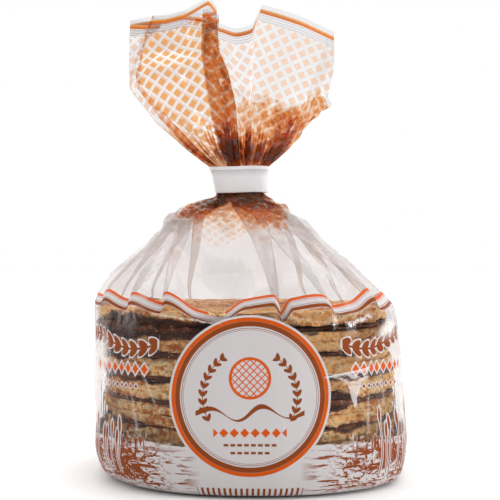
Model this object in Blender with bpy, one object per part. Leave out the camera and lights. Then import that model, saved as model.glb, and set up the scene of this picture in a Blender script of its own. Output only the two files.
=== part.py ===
"""A clear film bag of stroopwafels, gathered at the neck and closed with a flat band.

The bag is one shut body: seven round waffles fill its straight lower part, the film draws in over them in
pleats to a flat neck, and above the band it opens again in a folded fan. The band is a second piece.
Metres, +Z up, the origin on the table under the middle of the bag.
"""

import math
from dataclasses import astuple, dataclass

import bmesh
import bpy
import numpy as np

COLLECTION_NAME = "bag_of_stroopwafels"

# The filling sets the size of the bag's lower part.
WAFFLE_DIAMETER = 0.0900
WAFFLE_COUNT = 7
WAFFLE_PITCH = 0.0073
STACK_TOP = WAFFLE_COUNT * WAFFLE_PITCH + 0.0014
SIDE_SLACK = 0.0044
FRONT_SLACK = 0.0030
BODY_HALF_WIDTH = WAFFLE_DIAMETER / 2 + SIDE_SLACK
BODY_HALF_DEPTH = WAFFLE_DIAMETER / 2 + FRONT_SLACK
BASE_EDGE_RADIUS = 0.0024
BODY_SQUARENESS = 2.7
NECK_SQUARENESS = 2.2

# The neck, and the band around it
NECK_X = -0.0028
NECK_BOTTOM = 0.0874
NECK_TOP = 0.0964
NECK_HALF_WIDTH = 0.0077
NECK_HALF_DEPTH = 0.0030
BAND_HEIGHT = 0.0084
BAND_THICKNESS = 0.0006
BAND_HEM_HEIGHT = 0.0011
BAND_HEM_THICKNESS = 0.0003
BAND_GAP = 0.0004
BAND_SLANT = 0.0015
BAND_SQUARENESS = 5.0

# The open fan above the neck
FAN_X = -0.0064
FAN_HALF_WIDTH = 0.0334
FAN_HALF_DEPTH = 0.0150
HEM_HEIGHT = 0.1450
HEM_WAVE = 0.0030
FAN_DISH = 0.0060

# Pleats and mesh density
SHOULDER_PLEATS = 12
FAN_PLEATS = 7
POINTS_AROUND = 84
RINGS_PER_SPAN = 2
BAND_POINTS_AROUND = 48


@dataclass(frozen=True)
class Station:
    """One level of the bag: its height, half sizes, middle, pleat depths and how square its outline is."""

    height: float
    half_width: float
    half_depth: float
    middle_x: float
    squareness: float
    shoulder_pleat: float
    fan_pleat: float


def stations():
    """The levels that give the bag its outline, from the table up to the hem."""
    body_x = -0.0004
    return [
        Station(0.0, BODY_HALF_WIDTH - BASE_EDGE_RADIUS, BODY_HALF_DEPTH - BASE_EDGE_RADIUS, 0.0,
                BODY_SQUARENESS, 0.0, 0.0),
        Station(0.3 * BASE_EDGE_RADIUS, BODY_HALF_WIDTH - 0.3 * BASE_EDGE_RADIUS,
                BODY_HALF_DEPTH - 0.3 * BASE_EDGE_RADIUS, 0.0, BODY_SQUARENESS, 0.0, 0.0),
        Station(BASE_EDGE_RADIUS, BODY_HALF_WIDTH, BODY_HALF_DEPTH, 0.0, BODY_SQUARENESS, 0.0, 0.0),
        Station(0.5 * STACK_TOP, BODY_HALF_WIDTH - 0.0004, BODY_HALF_DEPTH, body_x, BODY_SQUARENESS, 0.002, 0.0),
        Station(STACK_TOP, BODY_HALF_WIDTH - 0.0020, BODY_HALF_DEPTH - 0.0014, 4 * body_x, BODY_SQUARENESS,
                0.010, 0.0),
        Station(0.0590, 0.0430, 0.0420, -0.0036, 2.5, 0.030, 0.0),
        Station(0.0660, 0.0362, 0.0350, -0.0042, 2.4, 0.050, 0.0),
        Station(0.0730, 0.0282, 0.0262, -0.0045, 2.3, 0.070, 0.0),
        Station(0.0800, 0.0212, 0.0170, -0.0050, 2.2, 0.080, 0.0),
        Station(0.0850, 0.0142, 0.0086, -0.0046, 2.2, 0.060, 0.0),
        Station(NECK_BOTTOM, NECK_HALF_WIDTH, NECK_HALF_DEPTH, NECK_X, NECK_SQUARENESS, 0.0, 0.0),
        Station(NECK_TOP, NECK_HALF_WIDTH, NECK_HALF_DEPTH, NECK_X, NECK_SQUARENESS, 0.0, 0.0),
        Station(0.1005, 0.0134, 0.0052, -0.0040, 2.2, 0.0, 0.06),
        Station(0.1090, 0.0214, 0.0086, -0.0056, 2.2, 0.0, 0.12),
        Station(0.1200, 0.0296, 0.0118, -0.0056, 2.2, 0.0, 0.14),
        Station(0.1320, FAN_HALF_WIDTH, 0.0140, FAN_X, 2.2, 0.0, 0.14),
        Station(HEM_HEIGHT, FAN_HALF_WIDTH - 0.0006, FAN_HALF_DEPTH, FAN_X, 2.2, 0.0, 0.14),
    ]


def levels_between(keys, per_span):
    """A smooth run of levels through the key levels: each number follows a Hermite curve between them.

    The slope at a key level is the smaller of its two neighbouring slopes, and zero where they differ in sign,
    so that the neck and the base keep their exact sizes with no overshoot.
    """
    table = np.array([astuple(key) for key in keys])
    heights = table[:, 0]
    slopes = np.diff(table, axis=0) / np.diff(heights)[:, None]
    before = np.vstack([slopes[:1], slopes])
    after = np.vstack([slopes, slopes[-1:]])
    gentle = np.where(np.abs(before) < np.abs(after), before, after)
    tangent = np.where(before * after > 0.0, gentle, 0.0)
    runs = []
    for low in range(len(keys) - 1):
        t = np.arange(per_span)[:, None] / per_span
        span = heights[low + 1] - heights[low]
        start = (2 * t**3 - 3 * t**2 + 1) * table[low] + (t**3 - 2 * t**2 + t) * span * tangent[low]
        end = (3 * t**2 - 2 * t**3) * table[low + 1] + (t**3 - t**2) * span * tangent[low + 1]
        run = start + end
        run[:, 0] = heights[low] + span * t[:, 0]
        runs.append(run)
    runs.append(table[-1:])
    return [Station(*row) for row in np.vstack(runs)]


def oval(angle, half_width, half_depth, squareness):
    """A point on a superellipse: round at squareness 2, squarer above it."""
    cosine = math.cos(angle)
    sine = math.sin(angle)
    x = half_width * math.copysign(abs(cosine) ** (2 / squareness), cosine)
    y = half_depth * math.copysign(abs(sine) ** (2 / squareness), sine)
    return x, y


def bag_ring(level):
    """The outline of the bag at one level: an oval with its pleats, which lifts and dips along the hem."""
    points = []
    rise = HEM_WAVE * max(0.0, level.height - NECK_TOP) / (HEM_HEIGHT - NECK_TOP)
    for step in range(POINTS_AROUND):
        angle = 2 * math.pi * step / POINTS_AROUND
        folded = 1.0
        folded += level.shoulder_pleat * math.cos(SHOULDER_PLEATS * angle)
        folded += level.fan_pleat * math.cos(FAN_PLEATS * angle)
        x, y = oval(angle, level.half_width, level.half_depth, level.squareness)
        z = level.height + rise * math.cos(FAN_PLEATS * angle)
        points.append((level.middle_x + folded * x, folded * y, z))
    return points


def joined_rings(bm, rings):
    """Adds each ring's points, and joins each ring to the next with quads. Returns the rings of vertices."""
    loops = [[bm.verts.new(point) for point in ring] for ring in rings]
    for lower, upper in zip(loops, loops[1:]):
        for index, corner in enumerate(lower):
            following = (index + 1) % len(lower)
            bm.faces.new((corner, lower[following], upper[following], upper[index]))
    return loops


def closed_by_fan(bm, loop, middle, facing_up):
    """Closes a ring with triangles to a point in the middle."""
    centre = bm.verts.new(middle)
    for index, corner in enumerate(loop):
        following = loop[(index + 1) % len(loop)]
        if facing_up:
            bm.faces.new((corner, following, centre))
        else:
            bm.faces.new((following, corner, centre))


def plastic(name, colour, roughness, alpha):
    """A Principled finish with the piece's own colour and roughness."""
    material = bpy.data.materials.new(name)
    material.use_nodes = True
    shader = material.node_tree.nodes["Principled BSDF"]
    shader.inputs["Base Color"].default_value = (*colour, 1.0)
    shader.inputs["Roughness"].default_value = roughness
    shader.inputs["Metallic"].default_value = 0.0
    shader.inputs["Alpha"].default_value = alpha
    return material


def object_from(bm, name, collection, material):
    """Puts the finished mesh into an object of this name, in the collection, shaded smooth."""
    mesh = bpy.data.meshes.new(name)
    bmesh.ops.recalc_face_normals(bm, faces=bm.faces)
    bm.to_mesh(mesh)
    bm.free()
    mesh.materials.append(material)
    mesh.shade_smooth()
    mesh.set_sharp_from_angle(angle=math.radians(40))
    obj = bpy.data.objects.new(name, mesh)
    collection.objects.link(obj)
    return obj


def make_bag(collection):
    """The shut bag, from its flat base to the hem of the fan."""
    bm = bmesh.new()
    rings = [bag_ring(level) for level in levels_between(stations(), RINGS_PER_SPAN)]
    loops = joined_rings(bm, rings)
    closed_by_fan(bm, loops[0], (0.0, 0.0, 0.0), facing_up=False)
    closed_by_fan(bm, loops[-1], (FAN_X, 0.0, HEM_HEIGHT - FAN_DISH), facing_up=True)
    film = plastic("clear_film", (0.82, 0.66, 0.48), 0.18, 1.0)
    return object_from(bm, "bag", collection, film)


def band_section(low, high):
    """The band's cross-section as pairs of distance from its inner face, and height: a strip with a folded hem."""
    hem_low = high - BAND_HEM_HEIGHT
    hem_out = BAND_THICKNESS + BAND_HEM_THICKNESS
    step = BAND_HEM_THICKNESS
    return [
        (0.0, low),
        (BAND_THICKNESS, low),
        (BAND_THICKNESS, hem_low - step),
        (hem_out, hem_low),
        (hem_out, high),
        (0.0, high),
    ]


def make_tie(collection):
    """The flat band round the neck, one closed loop that is slightly wider at its top left."""
    bm = bmesh.new()
    middle = (NECK_BOTTOM + NECK_TOP) / 2
    low = middle - BAND_HEIGHT / 2
    high = middle + BAND_HEIGHT / 2
    rings = []
    for out, z in band_section(low, high):
        half_width = NECK_HALF_WIDTH + BAND_GAP + out
        half_depth = NECK_HALF_DEPTH + BAND_GAP + out
        slant = BAND_SLANT * (z - low) / BAND_HEIGHT
        ring = []
        for step in range(BAND_POINTS_AROUND):
            x, y = oval(2 * math.pi * step / BAND_POINTS_AROUND, half_width, half_depth, BAND_SQUARENESS)
            leftward = max(0.0, -x / half_width)
            ring.append((NECK_X + x - slant * leftward**2, y, z))
        rings.append(ring)
    loops = joined_rings(bm, rings)
    for index, corner in enumerate(loops[-1]):
        following = (index + 1) % BAND_POINTS_AROUND
        bm.faces.new((corner, loops[-1][following], loops[0][following], loops[0][index]))
    white = plastic("white_band", (0.86, 0.86, 0.87), 0.45, 1.0)
    return object_from(bm, "tie", collection, white)


def main():
    """Clears the scene and builds the bag and its band."""
    for old in list(bpy.data.objects):
        bpy.data.objects.remove(old)
    collection = bpy.data.collections.new(COLLECTION_NAME)
    bpy.context.scene.collection.children.link(collection)
    make_bag(collection)
    make_tie(collection)


main()
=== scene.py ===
"""The looks of a clear film bag of stroopwafels, closed with a flat white band.

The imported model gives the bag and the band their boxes. Here the bag becomes what it really is: seven baked
waffles with syrup in them, a printed clear film that draws in over them in pleats, and an open fan of film
above the band. Lengths are metres unless a name or comment says millimetres.
"""

import logging
import math
from dataclasses import dataclass, field
from enum import Enum
from typing import Any, Callable, Sequence

import bpy
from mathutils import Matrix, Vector
import numpy as np


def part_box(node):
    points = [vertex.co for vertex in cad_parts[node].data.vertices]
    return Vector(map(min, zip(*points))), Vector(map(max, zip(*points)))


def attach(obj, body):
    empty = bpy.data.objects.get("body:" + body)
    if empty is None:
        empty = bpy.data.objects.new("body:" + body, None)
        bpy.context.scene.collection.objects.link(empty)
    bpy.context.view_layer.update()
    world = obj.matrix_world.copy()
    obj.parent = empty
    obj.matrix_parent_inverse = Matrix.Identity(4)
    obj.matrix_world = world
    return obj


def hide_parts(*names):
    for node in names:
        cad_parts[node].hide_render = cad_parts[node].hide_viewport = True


Array = np.ndarray
Colour = tuple[float, float, float]
Masks = tuple["Wire", "Wire", "Wire"]
MM = 0.001
TURN = 2 * math.pi
FILM_GIRTH = 318.0
HALF_GIRTH = FILM_GIRTH / 2
LOG = logging.getLogger("bag")

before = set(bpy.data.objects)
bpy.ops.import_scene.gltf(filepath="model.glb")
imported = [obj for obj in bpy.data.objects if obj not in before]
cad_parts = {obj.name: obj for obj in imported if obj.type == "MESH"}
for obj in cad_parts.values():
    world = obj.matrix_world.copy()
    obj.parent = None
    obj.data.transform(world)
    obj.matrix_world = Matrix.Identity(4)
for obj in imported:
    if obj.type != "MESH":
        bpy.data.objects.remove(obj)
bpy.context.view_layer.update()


# ---------------------------------------------------------------- shape helpers


def eased(share: Array) -> Array:
    """Smoothstep: 3t squared less 2t cubed, with t held between 0 and 1."""
    t = np.clip(share, 0.0, 1.0)
    return t * t * (3.0 - 2.0 * t)


def hump(at: Array, middle: float, width: float) -> Array:
    """A bell curve: e to the minus square of the distance from the middle over the width."""
    return np.exp(-(((at - middle) / width) ** 2))


def gentle_curve(at: Array, keys: Array, values: Array) -> Array:
    """Smooth values between key places, with no overshoot.

    Each span is a cubic Hermite curve. The slope at a key is the smaller of its two neighbours' slopes, and
    zero where they differ in sign.

    Args:
        at: The places to read, any shape.
        keys: Rising key places, shape (n,).
        values: The value at each key, shape (n, m).

    Returns:
        The values, with the shape of at plus (m,).
    """
    span = np.diff(keys)
    slopes = np.diff(values, axis=0) / span[:, None]
    before = np.vstack([slopes[:1], slopes])
    after = np.vstack([slopes, slopes[-1:]])
    smaller = np.where(np.abs(before) < np.abs(after), before, after)
    tangent = np.where(before * after > 0.0, smaller, 0.0)
    low = np.clip(np.searchsorted(keys, at, side="right") - 1, 0, len(keys) - 2)
    t = ((at - keys[low]) / span[low])[..., None]
    width = span[low][..., None]
    start = (2 * t**3 - 3 * t**2 + 1) * values[low]
    start = start + (t**3 - 2 * t**2 + t) * width * tangent[low]
    end = (3 * t**2 - 2 * t**3) * values[low + 1]
    end = end + (t**3 - t**2) * width * tangent[low + 1]
    return start + end


class Grain:
    """Seeded value noise on a plane: random heights on a square lattice, blended by smoothstep."""

    SIZE = 256

    def __init__(self, seed: int) -> None:
        """Fills the lattice with numbers from -1 to 1."""
        self.table = np.random.default_rng(seed).uniform(-1.0, 1.0, (self.SIZE, self.SIZE))

    def __call__(self, x: Array, y: Array, wrap: int = SIZE) -> Array:
        """The noise at lattice places x and y, which repeats in x after wrap cells."""
        column, row = np.floor(x).astype(int), np.floor(y).astype(int)
        across, up = eased(x - column), eased(y - row)
        left, right = column % wrap, (column + 1) % wrap
        low, high = row % self.SIZE, (row + 1) % self.SIZE
        below = self.table[left, low] * (1 - across) + self.table[right, low] * across
        above = self.table[left, high] * (1 - across) + self.table[right, high] * across
        return below * (1 - up) + above * up

    def layered(self, x: Array, y: Array, octaves: int, wrap: int = SIZE) -> Array:
        """A sum of octaves, each twice as fine and half as high as the last."""
        total = np.zeros(np.broadcast(x, y).shape)
        for octave in range(octaves):
            scale = 2**octave
            cells = min(wrap * scale, self.SIZE)
            aside = 17.0 * octave * (wrap >= self.SIZE)
            total += self(x * scale + aside, y * scale + 31.0 * octave, cells) / scale
        return total


@dataclass
class Sheet:
    """A surface as a grid of points, rows by columns, that becomes one mesh object.

    Attributes:
        points: Shape (rows, columns, 3). The last column joins the first.
        low_pole: A point that closes the first row, if any.
        high_pole: A point that closes the last row, if any.
        map_left: For each quad's left corners, the film coordinates, shape (rows, quads, 2).
        map_right: The same for its right corners.
        tones: Named numbers for each point, shape (rows, columns).
    """

    points: Array
    low_pole: Array | None = None
    high_pole: Array | None = None
    map_left: Array | None = None
    map_right: Array | None = None
    tones: dict[str, Array] = field(default_factory=dict)

    def corners(self) -> tuple[Array, Array, Array]:
        """The quads' corner numbers, and each quad's row and column."""
        rows, columns = self.points.shape[:2]
        row, column = np.meshgrid(np.arange(rows - 1), np.arange(columns), indexing="ij")
        row, column = row.ravel(), column.ravel()
        following = (column + 1) % columns
        low, high = row * columns, (row + 1) * columns
        return np.stack([low + column, low + following, high + following, high + column], 1), row, column


def add_mesh(name: str, sheets: Sequence[Sheet], finish: bpy.types.Material) -> bpy.types.Object:
    """Joins sheets into one mesh object that stands at the origin, shaded smooth.

    Args:
        name: The piece's name.
        sheets: Its surfaces, whose columns run anticlockwise seen from outside, rows upwards.
        finish: Its material.

    Returns:
        The new object, linked to the scene.
    """
    vertices, triangles, quads, quad_maps, tones = [], [], [], [], {}
    base = 0
    for sheet in sheets:
        rows, columns = sheet.points.shape[:2]
        vertices.append(sheet.points.reshape(-1, 3))
        corners, row, column = sheet.corners()
        quads.append(corners + base)
        if sheet.map_left is not None:
            left, right = sheet.map_left, sheet.map_right
            around = [left[row, column], right[row, column], right[row + 1, column], left[row + 1, column]]
            quad_maps.append(np.stack(around, 1))
        count = rows * columns
        ring = np.arange(columns)
        last_row = (rows - 1) * columns
        for pole, first, outward in ((sheet.low_pole, 0, False), (sheet.high_pole, last_row, True)):
            if pole is None:
                continue
            vertices.append(np.asarray(pole, float).reshape(1, 3))
            edge, after = base + first + ring, base + first + (ring + 1) % columns
            tip = np.full(columns, base + count)
            triangles.append(np.stack([edge, after, tip] if outward else [after, edge, tip], 1))
            count += 1
        for key, tone in sheet.tones.items():
            held = np.zeros(count)
            held[: rows * columns] = tone.ravel()
            held[rows * columns:] = tone[0].mean()
            tones.setdefault(key, []).append(held)
        base += count
    mesh = bpy.data.meshes.new(name)
    four = np.concatenate(quads)
    three = np.concatenate(triangles) if triangles else np.zeros((0, 3), int)
    place = np.concatenate(vertices)
    mesh.vertices.add(len(place))
    mesh.vertices.foreach_set("co", place.astype(np.float32).ravel())
    mesh.loops.add(four.size + three.size)
    mesh.loops.foreach_set("vertex_index", np.concatenate([four.ravel(), three.ravel()]).astype(np.int32))
    mesh.polygons.add(len(four) + len(three))
    starts = np.concatenate([np.arange(len(four)) * 4, four.size + np.arange(len(three)) * 3])
    mesh.polygons.foreach_set("loop_start", starts.astype(np.int32))
    if quad_maps:
        flat = np.concatenate([np.concatenate(quad_maps).reshape(-1, 2), np.zeros((three.size, 2))])
        mesh.uv_layers.new(name="film").data.foreach_set("uv", flat.astype(np.float32).ravel())
    for key, parts in tones.items():
        layer = mesh.attributes.new(key, "FLOAT", "POINT")
        layer.data.foreach_set("value", np.concatenate(parts).astype(np.float32))
    mesh.update(calc_edges=True)
    mesh.validate()
    mesh.shade_smooth()
    mesh.materials.append(finish)
    piece = bpy.data.objects.new(name, mesh)
    bpy.context.scene.collection.objects.link(piece)
    return piece


# ---------------------------------------------------------------- material helpers


def operator(operation: str, reflected: bool = False) -> Callable[["Wire", "Number"], "Wire"]:
    """The method for one of a wire's operators.

    Args:
        operation: Of the Math node that it adds.
        reflected: Whether the wire comes second, as it does in 1 - mask.

    Returns:
        The method.
    """
    def method(self: "Wire", other: "Number") -> "Wire":
        """The Math node's output."""
        return self.math(operation, other, self) if reflected else self.math(operation, self, other)
    return method


class Wire:
    """A number that runs through a material. An expression on wires adds the Math nodes for it.

    On masks, & is where both are, the smaller, and | is where either is, the larger.
    """

    def __init__(self, graph: "Graph", socket: bpy.types.NodeSocket) -> None:
        """Wraps one output socket of the graph."""
        self.graph = graph
        self.socket = socket

    def math(self, operation: str, *values: "Number", clamped: bool = False) -> "Wire":
        """One Math node on these values."""
        settings = {"operation": operation, "use_clamp": clamped}
        node = self.graph.add("ShaderNodeMath", settings, dict(enumerate(values)))
        return Wire(self.graph, node.outputs[0])

    __add__ = __radd__ = operator("ADD")
    __sub__ = operator("SUBTRACT")
    __rsub__ = operator("SUBTRACT", reflected=True)
    __mul__ = __rmul__ = operator("MULTIPLY")
    __truediv__ = operator("DIVIDE")
    __rtruediv__ = operator("DIVIDE", reflected=True)
    __pow__ = operator("POWER")
    __and__ = operator("MINIMUM")
    __or__ = operator("MAXIMUM")

    def __abs__(self) -> "Wire":
        """Size without sign."""
        return self.math("ABSOLUTE", self)

    def sine(self) -> "Wire":
        """Sine of an angle in radians."""
        return self.math("SINE", self)

    def turned_from(self, across: "Wire") -> "Wire":
        """The angle of the point with this height and that distance across."""
        return self.math("ARCTAN2", self, across)

    def share(self) -> "Wire":
        """What is left after the whole part, from 0 to 1."""
        return self.math("FRACT", self)

    def repeated(self, pitch: float) -> "Wire":
        """The distance past the middle of its own cell, where cells repeat at this pitch."""
        return ((self / pitch).share() - 0.5) * pitch

    def above(self, edge: float, soft: float) -> "Wire":
        """A mask that rises from 0 to 1 over soft, centred on edge."""
        return self.math("MULTIPLY_ADD", self, 1.0 / soft, 0.5 - edge / soft, clamped=True)

    def below(self, edge: float, soft: float) -> "Wire":
        """A mask that falls from 1 to 0 over soft, centred on edge."""
        return self.math("MULTIPLY_ADD", self, -1.0 / soft, 0.5 + edge / soft, clamped=True)

    def between(self, low: float, high: float, soft: float) -> "Wire":
        """A mask of the stretch from low to high."""
        return abs(self - (low + high) / 2).below((high - low) / 2, soft)


Number = Wire | float | int


def either(masks: Sequence[Wire]) -> Wire:
    """Where any of the masks is: the largest."""
    total = masks[0]
    for mask in masks[1:]:
        total = total | mask
    return total


class Graph:
    """The nodes of one material or of the world, with every node made by one method."""

    def __init__(self, owner: bpy.types.Material | bpy.types.World) -> None:
        """Starts an empty graph in this material or world."""
        self.owner = owner
        owner.use_nodes = True
        self.tree = owner.node_tree
        self.tree.nodes.clear()

    @classmethod
    def of(cls, name: str) -> "Graph":
        """The empty graph of a new material of this name."""
        return cls(bpy.data.materials.new(name))

    def add(self, kind: str, settings: dict[str, Any], sockets: dict[Any, Any]) -> bpy.types.Node:
        """Adds a node.

        Args:
            kind: The node's type.
            settings: Its properties, set first. stops gives a colour ramp's places and colours.
            sockets: A value, wire or output socket for each input, by name or number.

        Returns:
            The node.
        """
        node = self.tree.nodes.new(kind)
        for key, value in settings.items():
            if key == "stops":
                self.set_stops(node.color_ramp, value)
            else:
                setattr(node, key, value)
        for key, value in sockets.items():
            if isinstance(value, Wire):
                value = value.socket
            if isinstance(value, bpy.types.NodeSocket):
                self.tree.links.new(value, node.inputs[key])
            else:
                node.inputs[key].default_value = value
        return node

    @staticmethod
    def set_stops(ramp: bpy.types.ColorRamp, stops: Sequence[tuple[float, Colour]]) -> None:
        """Gives a ramp these stops."""
        while len(ramp.elements) > 1:
            ramp.elements.remove(ramp.elements[-1])
        for index, (place, colour) in enumerate(stops):
            element = ramp.elements[0] if index == 0 else ramp.elements.new(place)
            element.position = place
            element.color = (*colour, 1.0)

    def film_place(self) -> tuple[Wire, Wire]:
        """Millimetres around and up the flat film, from the piece's own map."""
        node = self.add("ShaderNodeUVMap", {"uv_map": "film"}, {})
        parts = self.add("ShaderNodeSeparateXYZ", {}, {0: node.outputs[0]})
        return Wire(self, parts.outputs[0]), Wire(self, parts.outputs[1])

    def object_place(self) -> bpy.types.NodeSocket:
        """Object coordinates."""
        return self.add("ShaderNodeTexCoord", {}, {}).outputs["Object"]

    def tone(self, name: str) -> Wire:
        """A number kept on the mesh's points."""
        return Wire(self, self.add("ShaderNodeAttribute", {"attribute_name": name}, {}).outputs["Fac"])

    def joined(self, x: Number, y: Number, z: Number = 0.0) -> bpy.types.NodeSocket:
        """A vector of three numbers."""
        return self.add("ShaderNodeCombineXYZ", {}, {0: x, 1: y, 2: z}).outputs[0]

    def noise(self, place: Any, scale: float, detail: float = 2.0, rough: float = 0.5) -> Wire:
        """Noise from 0 to 1 at a place."""
        sockets = {"Vector": place, "Scale": scale, "Detail": detail, "Roughness": rough}
        return Wire(self, self.add("ShaderNodeTexNoise", {}, sockets).outputs[0])

    def noise_at(self, x: Number, y: Number, z: float, detail: float = 2.0, rough: float = 0.5) -> Wire:
        """Noise from 0 to 1 with lumps about one unit of x, y and z wide."""
        return self.noise(self.joined(x, y, z), 1.0, detail, rough)

    def cells(self, place: Any, scale: float, feature: str = "F1") -> Wire:
        """Distance to the nearest cell point or cell edge of a Voronoi pattern."""
        node = self.add("ShaderNodeTexVoronoi", {"feature": feature}, {"Vector": place, "Scale": scale})
        return Wire(self, node.outputs["Distance"])

    def shards(self, place: Any, scale: float) -> Wire:
        """Straight-edged cells, each with a chance number of its own from 0 to 1."""
        cells = self.add("ShaderNodeTexVoronoi", {}, {"Vector": place, "Scale": scale})
        parts = self.add("ShaderNodeSeparateXYZ", {}, {0: cells.outputs["Color"]})
        return Wire(self, parts.outputs[0])

    def blend(self, mask: Wire, first: Any, second: Any) -> bpy.types.NodeSocket:
        """The first colour where the mask is 0 and the second where it is 1."""
        node = self.add("ShaderNodeMix", {"data_type": "RGBA"}, {0: mask})
        for number, colour in ((6, first), (7, second)):
            if isinstance(colour, tuple):
                node.inputs[number].default_value = (*colour, 1.0)
            else:
                self.tree.links.new(colour, node.inputs[number])
        return node.outputs[2]

    def bump(self, height: Wire, distance: float, strength: float = 1.0) -> bpy.types.NodeSocket:
        """A bumped normal; height times distance is the true height in metres."""
        sockets = {"Height": height, "Distance": distance, "Strength": strength}
        return self.add("ShaderNodeBump", {}, sockets).outputs[0]

    def solid(self, **sockets: Any) -> bpy.types.NodeSocket:
        """A Principled shader; underscores in a name stand for spaces."""
        named = {key.replace("_", " "): value for key, value in sockets.items()}
        colour = named.get("Base Color")
        if isinstance(colour, tuple):
            named["Base Color"] = (*colour, 1.0)
        return self.add("ShaderNodeBsdfPrincipled", {}, named).outputs[0]

    def window(self, tint: Colour) -> bpy.types.NodeSocket:
        """A shader that light passes straight through, tinted."""
        return self.add("ShaderNodeBsdfTransparent", {}, {0: (*tint, 1.0)}).outputs[0]

    def mixed(self, mask: Wire, first: Any, second: Any) -> bpy.types.NodeSocket:
        """The first shader where the mask is 0 and the second where it is 1."""
        return self.add("ShaderNodeMixShader", {}, {0: mask, 1: first, 2: second}).outputs[0]

    def finished(self, shader: bpy.types.NodeSocket) -> bpy.types.Material:
        """Ends the graph with this shader and returns the material."""
        self.add("ShaderNodeOutputMaterial", {}, {0: shader})
        return self.owner


# ---------------------------------------------------------------- sizes taken from the frame

BAG_LOW, BAG_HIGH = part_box("bag")
TIE_LOW, TIE_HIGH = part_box("tie")
# the band leans out at its left end by this much more than at its right
BAND_LEAN = 1.5 * MM
NECK_X = (TIE_LOW.x + TIE_HIGH.x) / 2 + BAND_LEAN / 2
BAND_HEIGHT = TIE_HIGH.z - TIE_LOW.z


# ---------------------------------------------------------------- finishes


@dataclass(frozen=True)
class CrumbFinish:
    """Baked wafer: golden crumb, browner on its baked faces and in spots, darkened where syrup soaks in. Its
    colour also holds painted light on its lumps and painted shade in its hollows, its pits, by the syrup seam
    and on its left side.
    """

    golden: Colour = (0.920, 0.450, 0.130)
    pale: Colour = (1.000, 0.780, 0.430)
    browned_and_shaded: Colour = (0.520, 0.165, 0.040)
    stained_and_pit_shade: Colour = (0.200, 0.056, 0.018)
    soaked: Colour = (0.062, 0.016, 0.007)
    # cells in a metre
    patches: float = 90.0
    sparse: float = 260.0
    clusters: float = 520.0
    pits: float = 900.0
    crumbs: float = 1000.0
    crumb_height: float = 0.8 * MM

    def material(self) -> bpy.types.Material:
        """Noise mixes pale and golden; the mesh's own tones add browning, painted shade and soaked syrup."""
        g = Graph.of("baked_crumb")
        place = g.object_place()
        broad = g.noise(place, self.patches, 3.0, 0.6)
        fine = g.noise(place, self.crumbs, 3.0, 0.65)
        pores = g.cells(place, self.pits)
        brown = g.tone("browned_and_shaded")
        soak = g.tone("soaked")
        # clumps carries the bump's lumps and the rim's relief; the mask light below turns high lumps pale:
        # painted light on the lumps' tops, over the crumb's own random tone.
        clumps = g.noise(place, self.clusters, 3.0, 0.6) + g.tone("crumb") * 0.16
        light = (broad * 0.9 + fine * 1.5 + clumps * 1.5 - 1.5).above(0.45, 0.7)
        base = g.blend(light, self.golden, self.pale)
        # spots: the crust's own browning, and painted shade in the hollows between clumps, where clumps is
        # low.
        spots = (brown + fine * 1.2 - 0.35 + (broad - 0.5) * 1.4 - (clumps - 0.5) * 2.4).above(0.98, 0.7)
        base = g.blend(spots, base, self.browned_and_shaded)
        # holes: painted shade, the pores' pits darkened half way to the stain colour.
        holes = pores.below(0.16, 0.14) & g.noise(place, self.sparse, 1.0).above(0.55, 0.05)
        base = g.blend(holes * 0.5, base, self.stained_and_pit_shade)
        stain = (soak + (fine - 0.5) * 1.4 + (clumps - 0.5) * 1.2).above(0.36, 0.5)
        base = g.blend(stain * 0.75, base, self.stained_and_pit_shade)
        wet = (soak + (fine - 0.5) * 1.6).above(0.60, 0.4)
        base = g.blend(wet, base, self.soaked)
        normal = g.bump(fine * 0.6 + clumps * 0.9 + pores * 0.3 - holes * 0.6, self.crumb_height)
        dull = 0.90 - wet * 0.45
        return g.finished(g.solid(Base_Color=base, Roughness=dull, Normal=normal, Specular_IOR_Level=0.15))


@dataclass(frozen=True)
class SyrupFinish:
    """Caramel syrup: near black brown, glossy, with fine sugar grains that catch the light, partly painted as
    pale glints.
    """

    dark: Colour = (0.056, 0.014, 0.005)
    amber: Colour = (0.250, 0.068, 0.018)
    sugar_glint: Colour = (0.600, 0.450, 0.360)
    # cells in a metre
    clouds: float = 240.0
    crystals: float = 900.0
    sparse: float = 300.0
    ripple_height: float = 0.8 * MM

    def material(self) -> bpy.types.Material:
        """Noise mixes dark and amber; small Voronoi cells leave pale grains, partly sugar and partly painted
        glints.
        """
        g = Graph.of("caramel_syrup")
        place = g.object_place()
        cloudy = g.noise(place, self.clouds, 3.0, 0.6)
        grains = g.cells(place, self.crystals)
        glinting_grain = grains.below(0.24, 0.12) & g.noise(place, self.sparse, 1.0).above(0.52, 0.06)
        base = g.blend(cloudy.above(0.55, 0.3), self.dark, self.amber)
        base = g.blend(glinting_grain * 0.8, base, self.sugar_glint)
        ripples = cloudy + g.noise(place, self.crystals, 2.0) * 0.6
        normal = g.bump(ripples, self.ripple_height, 0.9)
        dull = 0.40 + glinting_grain * 0.2
        return g.finished(g.solid(Base_Color=base, Roughness=dull, Normal=normal, Specular_IOR_Level=0.11))


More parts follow.
